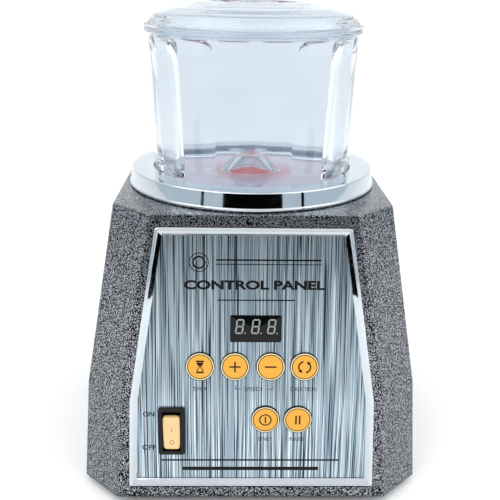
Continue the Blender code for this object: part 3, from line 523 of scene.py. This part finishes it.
def chrome_seat_ring():
    """Pressed ring, turned: a rolled bead at its foot, a side that leans in, a soft shoulder, a flat land and
    a small drop into the seat."""
    points = points_mm("chrome_ring")
    radius, (low, high) = np.hypot(points[:, 0], points[:, 1]), (points[:, 2].min(), points[:, 2].max())
    opening, outer = radius.min(), radius.max()
    profile = [(outer - 1.4, low), (outer, low), (outer, low + 1.5), (outer - 0.55, low + 1.9),
               (outer - 1.6, high), (opening, high), (opening, low + 3.0), (opening + 1.8, low + 3.0),
               (opening + 1.8, high - 1.8), (outer - 3.6, high - 1.8), (outer - 2.0, low)]
    radii = [0.2, 0.7, 0.6, 0.25, 1.0, 0.6, 0.1, 0.1, 0.1, 0.1, 0.1]
    shape = turned(filleted(profile, radii, 6, closed=True), ring=True)
    piece("seat_ring", shape, CHROME, "chassis", ["chrome_ring"], sharp=40.0)


def rubber_seat():
    """Thin round sheet with a rounded edge."""
    low, high = box_mm("seat_pad")
    profile = [(0.0, low[2]), (high[0], low[2]), (high[0], high[2]), (0.0, high[2])]
    piece("seat_sheet", turned(filleted(profile, 0.6)), SEAT, "chassis", ["seat_pad"])


# ------------------------------------------------------------------ bowl and lid

FACETS = 16
FACET = 2.0 * math.pi / FACETS
RIDGE_TOP = 11.2             # below the rim, where the edges between two flats begin
ARCH_TOP = 5.9               # below the rim, where the arch of a flat ends
ARCH_STEP = 4.5              # height over which the bore runs in to a flat
FLARE = 0.22                 # how fast the inner wall leans near the rim, radius per height


def clear_bowl():
    """Clear bowl, round outside and with sixteen flats inside. A point of the inner wall lies between two
    radii, the bore's and the flat's, which is the edge radius * cos(half facet) / cos(angle off the flat's
    middle). The share of the flat is a smooth step of the depth below an arch, a half ellipse over each flat.
    Columns crowd at the edges, which are narrow strips that shade as small rounds."""
    points = points_mm("bowl")
    radius, height = np.hypot(points[:, 0], points[:, 1]), points[:, 2]
    base, rim, lip = height.min(), height.max(), radius.max()
    lip_low = height[radius > lip - 0.1].min()
    wall_low = radius[height < base + 2.0].max()
    wall_high = radius[(height > lip_low - 1.0) & (radius < lip - 1.0)].max()
    bore = radius[height > rim - 0.01].min()
    floor = height[(height > base + 1.0) & (radius > 20.0)].min()
    edge_top = radius[(height > rim - 12.0) & (height < rim - 7.0)].max()
    edge_low = radius[(height > floor + 0.5) & (height < floor + 2.5) & (radius < wall_low - 2.0)].max()

    outside = [(0.0, base + 10.4), (5.0, base + 10.4), (8.2, base + 10.4), (13.0, base),
               (wall_low - 0.1, base), (wall_high, lip_low), (lip, lip_low), (lip, rim), (bore, rim)]
    radii = [0.0, 0.0, 1.2, 0.8, 1.7, 0.5, 0.5, 0.7, 0.6]
    outer = filleted(outside + [(bore - 0.1, rim - 4.0)], radii + [0.0], 6)
    levels = np.concatenate([np.linspace(rim - 4.2, rim - 12.5, 42), np.linspace(rim - 20.0, floor + 6.0, 6)])
    edge_radius = edge_low + (edge_top - edge_low) * (levels - floor) / (rim - 13.0 - floor)
    edge_radius += FLARE * np.maximum(levels - (rim - 13.0), 0.0)
    bore_radius = bore - 0.1 - FLARE * np.maximum(rim - 4.0 - levels, 0.0)
    wall = np.column_stack([np.maximum(bore_radius, edge_radius + 0.2), levels])
    foot = filleted([(edge_low + 0.2, floor + 6.0), (edge_low, floor), (40.0, floor)], [0.0, 2.2, 0.0], 8)[1:]
    boss = filleted([(40.0, floor), (15.4, floor), (10.8, floor + 9.3), (9.6, floor + 10.0),
                     (5.0, floor + 9.0), (0.0, floor + 9.0)], [0.0, 1.2, 1.0, 0.6, 2.0, 0.0], 6)[1:]
    profile = np.vstack([outer, wall, foot, boss])
    edges = np.concatenate([outer[:, 0], edge_radius, foot[:, 0], boss[:, 0]])
    flats = np.concatenate([np.zeros(len(outer)), np.ones(len(wall)),
                            np.clip((foot[:, 0] - 42.0) / 4.0, 0.0, 1.0), np.zeros(len(boss))])

    half_spread = np.array([0.15, 0.3, 0.45, 0.6, 0.76, 0.88, 0.95, 0.985])
    spread = np.concatenate([-half_spread[::-1], [0.0], half_spread])
    off = np.tile(spread * FACET / 2.0, FACETS)
    angle = np.repeat((np.arange(FACETS) + 0.5) * FACET, len(spread)) + off - math.pi / 2.0
    arch = rim - RIDGE_TOP + (RIDGE_TOP - ARCH_TOP) * np.sqrt(1.0 - (off / (FACET / 2.0)) ** 2)
    below = np.clip((arch + ARCH_STEP - profile[:, 1:]) / ARCH_STEP, 0.0, 1.0)
    share = flats[:, None] * below * below * (3.0 - 2.0 * below)
    flat = edges[:, None] * math.cos(FACET / 2.0) / np.cos(off)
    reach = profile[:, :1] * (1.0 - share) + flat * share
    rings = np.stack([reach * np.cos(angle), reach * np.sin(angle), profile[:, 1:] + 0.0 * angle], -1)
    bowl = piece("clear_bowl", skin(rings), CLEAR, "bowl", ["bowl"], sharp=50.0)
    bowl.visible_shadow = False


def domed_lid():
    """Clear lid, turned: flat recess, steep wall, crest, shallow dome, rolled shoulder, flange and skirt; the
    underside follows about 2 mm inside."""
    low, high = box_mm("lid")
    skirt_low, top, flange = low[2], high[2], high[0]
    outside = [(0.0, top - 9.3), (22.5, top - 9.3), (26.4, top - 7.0), (27.6, top - 1.4), (29.3, top),
               (38.0, top - 1.1), (48.0, top - 3.1), (56.5, top - 5.8), (60.2, top - 8.3), (62.8, top - 11.4),
               (63.4, top - 12.5), (flange, top - 12.5)]
    rim = [(flange, top - 14.7), (59.7, top - 14.7), (59.7, skirt_low), (57.9, skirt_low), (57.9, top - 9.8)]
    inside = [(55.2, top - 7.7), (47.5, top - 5.2), (37.6, top - 3.2), (30.4, top - 2.3), (28.2, top - 7.8),
              (23.6, top - 11.3), (0.0, top - 11.3)]
    radii = [0.0, 4.0, 3.0, 3.0, 2.0, 30.0, 30.0, 8.0, 5.0, 3.0, 0.4, 0.5,
             0.5, 0.3, 0.5, 0.5, 4.0, 8.0, 30.0, 30.0, 3.0, 3.0, 4.0, 0.0]
    profile = filleted(outside + rim + inside, radii, 8)
    lid = piece("clear_lid", turned(profile), CLEAR, "lid", ["lid"], sharp=40.0)
    lid.visible_shadow = False


# ------------------------------------------------------------------ panel frame and display

def panel_frame():
    """Chrome bezel: one cross-section, a land tilted slightly outward and a slope down to the panel, carried
    round the bent outline of the window."""
    local = off_panel(points_mm("panel_frame"))
    side, along, rise = np.abs(local[:, 0]), local[:, 1], local[:, 2].max()
    top, bottom, half_bend = along.max(), along.min(), side[np.abs(along) < 0.5].max()
    upper_slope = ((half_bend - side) / np.maximum(along, 1e-3))[along > 10.0].min()
    lower_slope = ((side - half_bend) / np.maximum(-along, 1e-3))[along < -10.0].max()

    def outline(inset, outward):
        half = half_bend - inset
        high, low = top - inset, bottom + inset
        corners = [(-half + lower_slope * low, low), (half - lower_slope * low, low), (half, 0.0),
                   (half - upper_slope * high, high), (-half + upper_slope * high, high), (-half, 0.0)]
        radius = max(2.2 - inset, 0.5)
        flat = filleted(corners, [radius, radius, 0.0, radius, radius, 0.0], 6, closed=True)
        return on_panel(np.column_stack([flat, np.full(len(flat), outward)]))

    section = [(0.0, 2.1), (0.0, rise - 0.4), (1.7, rise), (4.4, 0.6), (4.4, 0.3), (2.0, 0.3), (2.0, 2.1)]
    radii = [0.0, 0.3, 0.25, 0.15, 0.0, 0.0, 0.0]
    rings = [outline(inset, outward) for inset, outward in filleted(section, radii, 5, closed=True)]
    piece("panel_bezel", skin(np.array(rings), loop=True), CHROME, "chassis", ["panel_frame"])


DIGIT = (4.5, 8.6)           # width and height of a display digit between its outer edges
DIGIT_PITCH = 8.9
DIGIT_SLANT = 0.125
BAR = 0.85


def digit_bars():
    """Seven bars with pointed ends that make an eight: each is a hexagon along its own line."""
    half_width, half_height = (DIGIT[0] - BAR) / 2.0, (DIGIT[1] - BAR) / 2.0
    level = [((-half_width, y), (half_width, y)) for y in (-half_height, 0.0, half_height)]
    upright = [((x, y), (x, y + half_height)) for x in (-half_width, half_width) for y in (-half_height, 0.0)]
    bars = []
    for start, end in level + upright:
        start, end = np.array(start), np.array(end)
        along = (end - start) / np.linalg.norm(end - start)
        aside = np.array([-along[1], along[0]]) * BAR / 2.0
        inner, tip = BAR / 2.0 + 0.08, 0.10
        bars.append(np.array([start + along * tip, start + along * inner - aside, end - along * inner - aside,
                              end - along * tip, end - along * inner + aside, start + along * inner + aside]))
    return bars


def display():
    """Smoked window with rolled edges; on its face three resting digits that lean, each with its point."""
    centre, low, high = panel_box("display_window")
    size, face = high - low, high[2]
    window = slab(rectangle(size[0], size[1], 0.6), [(0.0, low[2])] + edge(face, 0.25))
    piece("smoked_window", moved(window, lambda p: on_panel(p + [centre[0], centre[1], 0.0])), SMOKED,
          "chassis", ["display_window"])
    digits = []
    for number in (-1, 0, 1):
        for bar in digit_bars():
            leaning = bar + np.column_stack([bar[:, 1] * DIGIT_SLANT, 0.0 * bar[:, 1]])
            digits.append(plate(leaning + [number * DIGIT_PITCH, 1.3], face, face + INK))
        dot = arc(0.42, 0.0, 345.0, 23, (number * DIGIT_PITCH + 2.9, 1.3 - DIGIT[1] / 2.0 + 0.4))
        digits.append(plate(dot, face, face + INK))
    shape = moved(gather(*digits), lambda p: on_panel(p + [centre[0], centre[1], 0.0]))
    piece("resting_digits", shape, SEGMENT, "chassis")


# ------------------------------------------------------------------ keys

def hourglass():
    """Two bars, a waisted outline and sand in its upper half."""
    waist = [(-1.6, 3.0), (-1.6, 1.9), (-0.35, 0.0), (-1.6, -1.9), (-1.6, -3.0),
             (1.6, -3.0), (1.6, -1.9), (0.35, 0.0), (1.6, 1.9), (1.6, 3.0)]
    sand = [(-0.2, 0.3), (0.2, 0.3), (1.4, 2.1), (1.4, 2.5), (-1.4, 2.5), (-1.4, 2.1)]
    bars = [plate(rectangle(4.3, 0.75, 0.1, (0.0, y)), 0.0, INK) for y in (-3.3, 3.3)]
    return gather(stroke(filleted(waist, 0.2, 2, closed=True), 0.5, 0.0, INK, closed=True),
                  plate(sand, 0.0, INK), *bars)


def plus():
    """Two crossed bars as one outline."""
    a, b = 0.42, 3.15
    return plate([(a, -b), (a, -a), (b, -a), (b, a), (a, a), (a, b),
                  (-a, b), (-a, a), (-b, a), (-b, -a), (-a, -a), (-a, -b)], 0.0, INK)


def minus():
    """One bar."""
    return plate(rectangle(6.5, 0.85, 0.15), 0.0, INK)


def turning_arrows():
    """Two arcs that chase each other, each with a pointed head at its end."""
    shapes = []
    for turn in (0.0, 180.0):
        end = math.radians(52.0 + turn)
        shapes.append(stroke(arc(3.3, -78.0 + turn, 44.0 + turn), 0.85, 0.0, INK))
        out, ahead = np.array([math.cos(end), math.sin(end)]), np.array([-math.sin(end), math.cos(end)])
        tip = [out * 3.3 + ahead * 1.1, out * 2.0 - ahead * 0.8, out * 4.3 - ahead * 1.0]
        shapes.append(plate(tip, 0.0, INK))
    return gather(*shapes)


def power():
    """Ring with a bar in it."""
    return gather(stroke(arc(3.2, 0.0, 354.0, 59), 0.7, 0.0, INK, closed=True),
                  plate(rectangle(0.75, 4.0, 0.1), 0.0, INK))


def pause():
    """Two upright bars."""
    return gather(*[plate(rectangle(0.9, 5.4, 0.1, (x, 0.0)), 0.0, INK) for x in (-1.05, 1.05)])


def key(body, node, mark):
    """Round push key in four pieces: black carrier with its flange and stem, cream rim, orange face, printed
    mark. All are turned about the key's own axis, then stood on the panel."""
    centre, low, high = panel_box(node)
    top, flange, stem = high[2], (high[0] - low[0]) / 2.0, low[2]

    def place(points):
        return on_panel(points + [centre[0], centre[1], 0.0])

    carrier = [(0.0, top - 0.5), (6.75, top - 0.5), (6.8, top - 0.12), (7.2, top - 0.12), (7.25, top - 0.5),
               (7.8, top - 0.5), (7.85, top - 0.12), (8.2, top - 0.25), (8.2, -1.3), (flange, -1.3),
               (flange, -2.1), (2.0, -2.1), (2.0, stem), (0.0, stem)]
    rim = [(7.25, top - 0.5), (7.8, top - 0.5), (7.8, top), (7.25, top)]
    rim = filleted(rim, [0.0, 0.0, 0.2, 0.15], 5, closed=True)
    face = filleted([(0.0, top - 0.48), (6.75, top - 0.48), (6.75, top - 0.05), (0.0, top - 0.02)],
                    [0.0, 0.0, 0.3, 0.0], 5)
    piece(f"{body}_carrier", moved(turned(carrier, SMALL), place), BLACK, body, [node])
    piece(f"{body}_rim", moved(turned(rim, SMALL, ring=True), place), CREAM, body)
    piece(f"{body}_face", moved(turned(face, SMALL), place), ORANGE, body)
    points, faces = mark
    piece(f"{body}_mark", (place(points + [0.0, 0.0, top - 0.03]), faces), BROWN_INK, body)


def keys():
    """The six keys with their symbols."""
    marks = {"timer": hourglass(), "increase": plus(), "decrease": minus(), "direction": turning_arrows(),
             "start": power(), "pause": pause()}
    for name, mark in marks.items():
        key(f"key_{name}", f"button_{name}", mark)


# ------------------------------------------------------------------ rocker

def rocker():
    """Two-way key: its face is a shallow V, height = valley + rise * |along| / half, inside a rounded
    rectangle; below, the sides draw in to the pivot. It rests tilted by half its travel."""
    joint = joints["power_rocker"]
    pivot = off_panel(np.array([joint["pos_m"]]) / MM)[0]
    tilt = math.radians(joint["range_deg"][1] / 2.0)
    valley, rise, half_length, half_width = 4.0, 1.8, 10.8, 4.75

    def height(y):
        return valley + rise * (np.sqrt(y ** 2 + 0.5) - 0.7) / half_length

    def place(points):
        x, y, z = points.T
        y, z = y * math.cos(tilt) - z * math.sin(tilt), y * math.sin(tilt) + z * math.cos(tilt)
        return on_panel(np.stack([x, y, z], -1) + pivot)

    outline = rectangle(2 * half_width, 2 * half_length, 2.0, steps=8)
    shares = np.array([0.03, 0.2, 0.4, 0.6, 0.75, 0.86, 0.93])
    rings = [np.column_stack([outline * share, height(outline[:, 1] * share)]) for share in shares]
    rounding = np.radians(np.linspace(0.0, 90.0, 6))
    for turn in rounding:
        grown = outline * (1.0 - 0.6 * (1.0 - math.sin(turn)) / np.array([half_width, half_length]))
        rings.append(np.column_stack([grown, height(grown[:, 1]) - 0.6 * (1.0 - math.cos(turn))]))
    for shrink, depth in ((0.945, 1.6), (0.56, -3.4)):
        rings.append(np.column_stack([outline * [1.0, shrink], np.full(len(outline), depth)]))
    piece("rocker_cap", moved(skin(rings), place), ROCKER_CREAM, "rocker", ["rocker_key"])
    bar = rectangle(0.5, 2.0, 0.1, (0.0, 1.6))
    ring = stroke(arc(1.15, 0.0, 352.0, 44, (0.0, -6.4)), 0.42, 0.0, INK, closed=True)
    for name, (points, faces) in (("rocker_bar_mark", plate(bar, 0.0, INK)), ("rocker_ring_mark", ring)):
        lifted = points + np.column_stack([0.0 * points[:, :2], height(points[:, 1])])
        piece(name, (place(lifted), faces), ORANGE_INK, "rocker")


# ------------------------------------------------------------------ printing

LABELS = (  # words, across, along, width, cap height, weight
    ("TIMER", -29.6, 6.4, 7.8, 2.3, 0.0),
    ("SPEEDS", 0.7, 6.4, 10.0, 2.3, 0.0),
    ("DIRECTION", 28.9, 6.4, 14.6, 2.3, 0.0),
    ("START", 7.5, -24.6, 7.7, 2.3, 0.0),
    ("PAUSE", 25.9, -24.6, 8.2, 2.3, 0.0),
    ("ON", -58.6, -9.0, 6.3, 3.2, 0.02),
    ("OFF", -58.8, -30.0, 7.9, 3.2, 0.02),
    ("CONTROL PANEL", 0.8, 66.6, 78.0, 5.3, 0.040),
)


def printing():
    """Words, ring emblem, rules and bracket ticks, all in ink on the panel's face."""
    for words, across, along, width, cap, weight in LABELS:
        points, faces = lettering(words, width, cap, weight)
        name = "print_" + words.lower().replace(" ", "_")
        piece(name, (on_panel(points + [across, along, 0.0]), faces), BLACK_INK, "chassis")
    ticks = [plate(rectangle(3.2, 0.35, 0.05, (x, 6.4)), 0.0, INK) for x in (-7.7, 10.0)]
    ticks += [plate(rectangle(0.35, 2.0, 0.05, (x, 7.2)), 0.0, INK) for x in (-9.5, 11.8)]
    rules = [plate(rectangle(width, thick, 0.2, (x, y)), 0.0, INK) for width, thick, x, y in (
        (58.0, 0.9, 8.5, 80.6), (58.0, 0.5, 8.5, 78.2), (43.0, 0.7, 1.6, 58.0),
        (103.0, 1.0, -0.7, -38.1), (79.0, 2.2, -0.5, -43.6))]
    emblem = [stroke(arc(radius, 0.0, 354.0, 59, (-30.0, 79.2)), width, 0.0, INK, closed=True)
              for radius, width in ((5.2, 0.5), (3.2, 1.0))]
    for name, shapes in (("print_ticks", ticks), ("print_rules", rules), ("print_ring_emblem", emblem)):
        points, faces = gather(*shapes)
        piece(name, (on_panel(points), faces), BLACK_INK, "chassis")


# ------------------------------------------------------------------ screws, feet, inlet blades

def seen_along(points, normal, up):
    """Place function, lowest and highest level of a turned solid that looks along a normal: local x, y, z run
    across, up and out, with the origin on its axis at the level zero of the normal."""
    across = np.cross(up, normal)
    local = points @ np.array([across, up, normal]).T
    middle = (local.min(0) + local.max(0)) / 2.0

    def place(some):
        return (some + [middle[0], middle[1], 0.0]) @ np.array([across, up, normal])
    return place, local[:, 2].min(), local[:, 2].max()


def cross_head(head_radius, head_height, low, top, shank):
    """Cross-recessed pan head on its shank. Head: height = top - drop * (radius / rim)^4, less a recess whose
    depth is a smooth step of the distance to two crossed bars."""
    radius = np.concatenate([np.linspace(0.04, 0.6, 18), np.linspace(0.65, 1.0, 10)]) * head_radius
    angle = np.arange(96) * 2.0 * math.pi / 96
    x, y = radius[:, None] * np.cos(angle), radius[:, None] * np.sin(angle)
    narrow, long = np.minimum(np.abs(x), np.abs(y)), np.maximum(np.abs(x), np.abs(y))
    inside = np.clip((0.13 * head_radius - narrow) / (0.05 * head_radius) + 0.5, 0.0, 1.0)
    inside *= np.clip((0.56 * head_radius - long) / (0.08 * head_radius) + 0.5, 0.0, 1.0)
    z = top - 0.45 * head_height * (radius[:, None] / head_radius) ** 4 - 0.55 * head_height * inside
    rings = list(np.stack([x, y, z], -1))
    for ring_radius, level in ((head_radius, top - head_height), (shank, top - head_height), (shank, low)):
        rings.append(np.column_stack([ring_radius * np.cos(angle), ring_radius * np.sin(angle),
                                      np.full(96, level)]))
    return skin(rings)


HEAD_SINK = 0.08             # a visible head stays this far inside its CAD node


def screws():
    """Case screws in the side walls, inlet screws in the back, foot screws below."""
    out, rise = -OUT_LOW[1], OUT_LOW[2]
    facing = {"case_screw_right": ((out, 0.0, rise), (-rise, 0.0, out)),
              "case_screw_left": ((-out, 0.0, rise), (rise, 0.0, out)),
              "inlet_screw": ((0.0, out, rise), (0.0, -rise, out)),
              "foot_screw": ((0.0, 0.0, -1.0), (0.0, 1.0, 0.0))}
    for node in frame["nodes"]:
        for start, (normal, up) in facing.items():
            if not node.startswith(start):
                continue
            points = points_mm(node)
            place, low, top = seen_along(points, np.array(normal), np.array(up))
            head = 3.8 if start == "foot_screw" else 3.1
            shape = moved(cross_head(head, 1.7, low, top - HEAD_SINK, 1.5), place)
            piece(node + "_head", shape, ZINC, "chassis", [node])


def feet():
    """Moulded rubber feet: a slight taper, a soft lower edge, one grip groove and the screw's counterbore."""
    for node in [name for name in frame["nodes"] if name.startswith("foot_") and "screw" not in name]:
        low, high = box_mm(node)
        radius, height = (high[0] - low[0]) / 2.0, high[2]
        middle = (low + high) / 2.0
        profile = [(4.3, 0.0), (radius - 4.4, 0.0), (radius - 4.2, 0.4), (radius - 3.8, 0.4),
                   (radius - 3.6, 0.0), (radius - 1.3, 0.0), (radius - 0.5, 1.0), (radius, height),
                   (1.9, height), (1.9, 2.8), (4.3, 2.8)]
        radii = [0.2, 0.1, 0.1, 0.1, 0.1, 0.8, 0.5, 0.3, 0.0, 0.0, 0.1]
        shape = turned(filleted(profile, radii, 4, closed=True), SMALL, tuple(middle[:2]), ring=True)
        piece(node + "_rubber", shape, RUBBER, "chassis", [node])


def inlet_blades():
    """Three plated blades over the inlet's pins, with chamfered tips."""
    out, rise = -OUT_LOW[1], OUT_LOW[2]
    normal, up = np.array([0.0, out, rise]), np.array([0.0, -rise, out])
    place, _, front = seen_along(points_mm("power_inlet"), normal, up)
    blades = []
    for x, y in ((-7.0, -1.5), (0.0, 2.5), (7.0, -1.5)):
        outline = rectangle(4.3, 2.3, 0.3, (x, y), 3)
        blades.append(slab(outline, [(0.0, front - 17.0), (0.0, front - 6.9), (-0.5, front - 6.2)]))
    piece("inlet_blades", moved(gather(*blades), place), BRASS, "chassis")


chrome_seat_ring()
rubber_seat()
clear_bowl()
domed_lid()
panel_frame()
display()
keys()
rocker()
printing()
screws()
feet()
inlet_blades()


# ------------------------------------------------------------------ stage

def stage_material(name, low, high, gloss):
    """Matt paper or flock: a tone that drifts a little, with more or less sheen."""
    return grained(name, low, high, 40.0, 0.0, 0.85, 0.95, Specular_IOR_Level=gloss)


def sweep():
    """Paper sweep: a profile that runs level from front to back, then turns up along a quarter circle into a
    wall, drawn out sideways."""
    turn = np.linspace(0.0, math.pi / 2.0, 13)
    depth = np.concatenate([[-2.5, 0.0], 1.2 + 0.8 * np.sin(turn), [2.0]])
    height = np.concatenate([[0.0, 0.0], 0.8 - 0.8 * np.cos(turn), [3.0]])
    side = np.linspace(-3.5, 3.5, 9)
    points = np.stack([np.broadcast_to(side, (len(depth), 9)).ravel(), np.repeat(depth, 9),
                       np.repeat(height, 9)], -1)
    index = np.arange(len(points)).reshape(-1, 9)
    faces = np.stack([index[:-1, :-1], index[:-1, 1:], index[1:, 1:], index[1:, :-1]], -1).reshape(-1, 4)
    mesh = bpy.data.meshes.new("paper_sweep")
    mesh.from_pydata(points.tolist(), [], faces.tolist())
    mesh.materials.append(stage_material("white_paper_sweep", "#FAFBFC", "#FFFFFF", 0.2))
    mesh.shade_smooth()
    placed("paper_sweep", mesh)


def reflector(name, corners, colour):
    """Card that only mirrors see: it gives the chrome and the enamel something dark to reflect."""
    mesh = bpy.data.meshes.new(name)
    mesh.from_pydata(corners, [], [(0, 1, 2, 3)])
    mesh.materials.append(colour)
    obj = placed(name, mesh)
    obj.visible_camera = obj.visible_diffuse = obj.visible_shadow = obj.visible_transmission = False


def standing_card(name, azimuth, half_angle, distance, low, high, colour):
    """Upright card that faces the axis: azimuth in degrees from the front, towards the right."""
    a, half = math.radians(azimuth), distance * math.tan(math.radians(half_angle))
    middle = np.array([distance * math.sin(a), -distance * math.cos(a)])
    aside = np.array([math.cos(a), math.sin(a)]) * half
    ends = [middle - aside, middle + aside]
    reflector(name, [(*ends[0], low), (*ends[1], low), (*ends[1], high), (*ends[0], high)], colour)


def world():
    """Even studio light: pale blue-white at the horizon, white overhead."""
    made = bpy.data.worlds.new("studio")
    bpy.context.scene.world = made
    made.use_nodes = True
    tree = made.node_tree
    where = add(tree, "ShaderNodeTexCoord")
    parts = add(tree, "ShaderNodeSeparateXYZ", links={0: where.outputs["Generated"]})
    tone = mixed(tree, stepped(tree, parts.outputs["Z"], 0.02, 0.45), "#CFDCE5", "#FFFFFF")
    backdrop = tree.nodes["Background"]
    tree.links.new(tone, backdrop.inputs["Color"])
    backdrop.inputs["Strength"].default_value = 1.0


def light(name, place, aim, size, power):
    """Square soft light aimed at a point."""
    data = bpy.data.lights.new(name, "AREA")
    data.size, data.energy = size, power
    obj = placed(name, data)
    obj.location = place
    obj.rotation_euler = (Vector(aim) - Vector(place)).to_track_quat("-Z", "Y").to_euler()


def camera():
    """Slightly above the machine, looking down at it from the front."""
    data = bpy.data.cameras.new("camera")
    data.lens, data.sensor_width, data.shift_x = 56.1, 36.0, -0.0036
    data.clip_start, data.clip_end = 0.02, 20.0
    obj = placed("camera", data)
    obj.location = (-0.0102, -0.4833, 0.2906)
    obj.rotation_euler = tuple(math.radians(turn) for turn in (70.887, -0.762, -1.038))
    bpy.context.scene.camera = obj


CARD_LEVEL = 0.0005          # metres above the floor
MIDDLE = (0.0, 0.0, 0.12)     # what both lights aim at
BOUNCES = 28                 # enough for light to leave the thick clear walls

sweep()
BLACK_CARD = stage_material("black_card", "#020202", "#040404", 0.0)
standing_card("card_front", 0.0, 26.0, 1.2, 0.02, 0.55, BLACK_CARD)
for number, azimuth in enumerate((-44.3, 44.3)):
    standing_card(f"card_strip_{number}", azimuth, 1.35, 1.2, 0.02, 0.55, BLACK_CARD)
for name, corners in (
        # card_low: painted shade, a black strip on the floor at the machine's front foot standing in for the
        # shaded floor there, so the bezel's top slope mirrors it dark.
        ("card_low", ((-0.078, -0.1085), (0.078, -0.1085), (0.078, -0.095), (-0.078, -0.095))),
        ("card_low_right", ((0.240, -0.222), (0.70, -0.350), (0.70, -0.230), (0.240, -0.142))),
        ("card_low_left", ((-0.240, -0.239), (-0.70, -0.390), (-0.70, -0.270), (-0.240, -0.159)))):
    reflector(name, [(*corner, CARD_LEVEL) for corner in corners], BLACK_CARD)
world()
light("key_light", (-0.9, -0.7, 1.4), MIDDLE, 1.8, 12.0)
light("fill_light", (1.1, -0.5, 1.1), MIDDLE, 1.8, 9.0)
camera()
bpy.context.scene.view_settings.view_transform = "Standard"
bpy.context.scene.view_settings.look = "None"
cycles = bpy.context.scene.cycles
cycles.max_bounces = cycles.transmission_bounces = cycles.glossy_bounces = BOUNCES
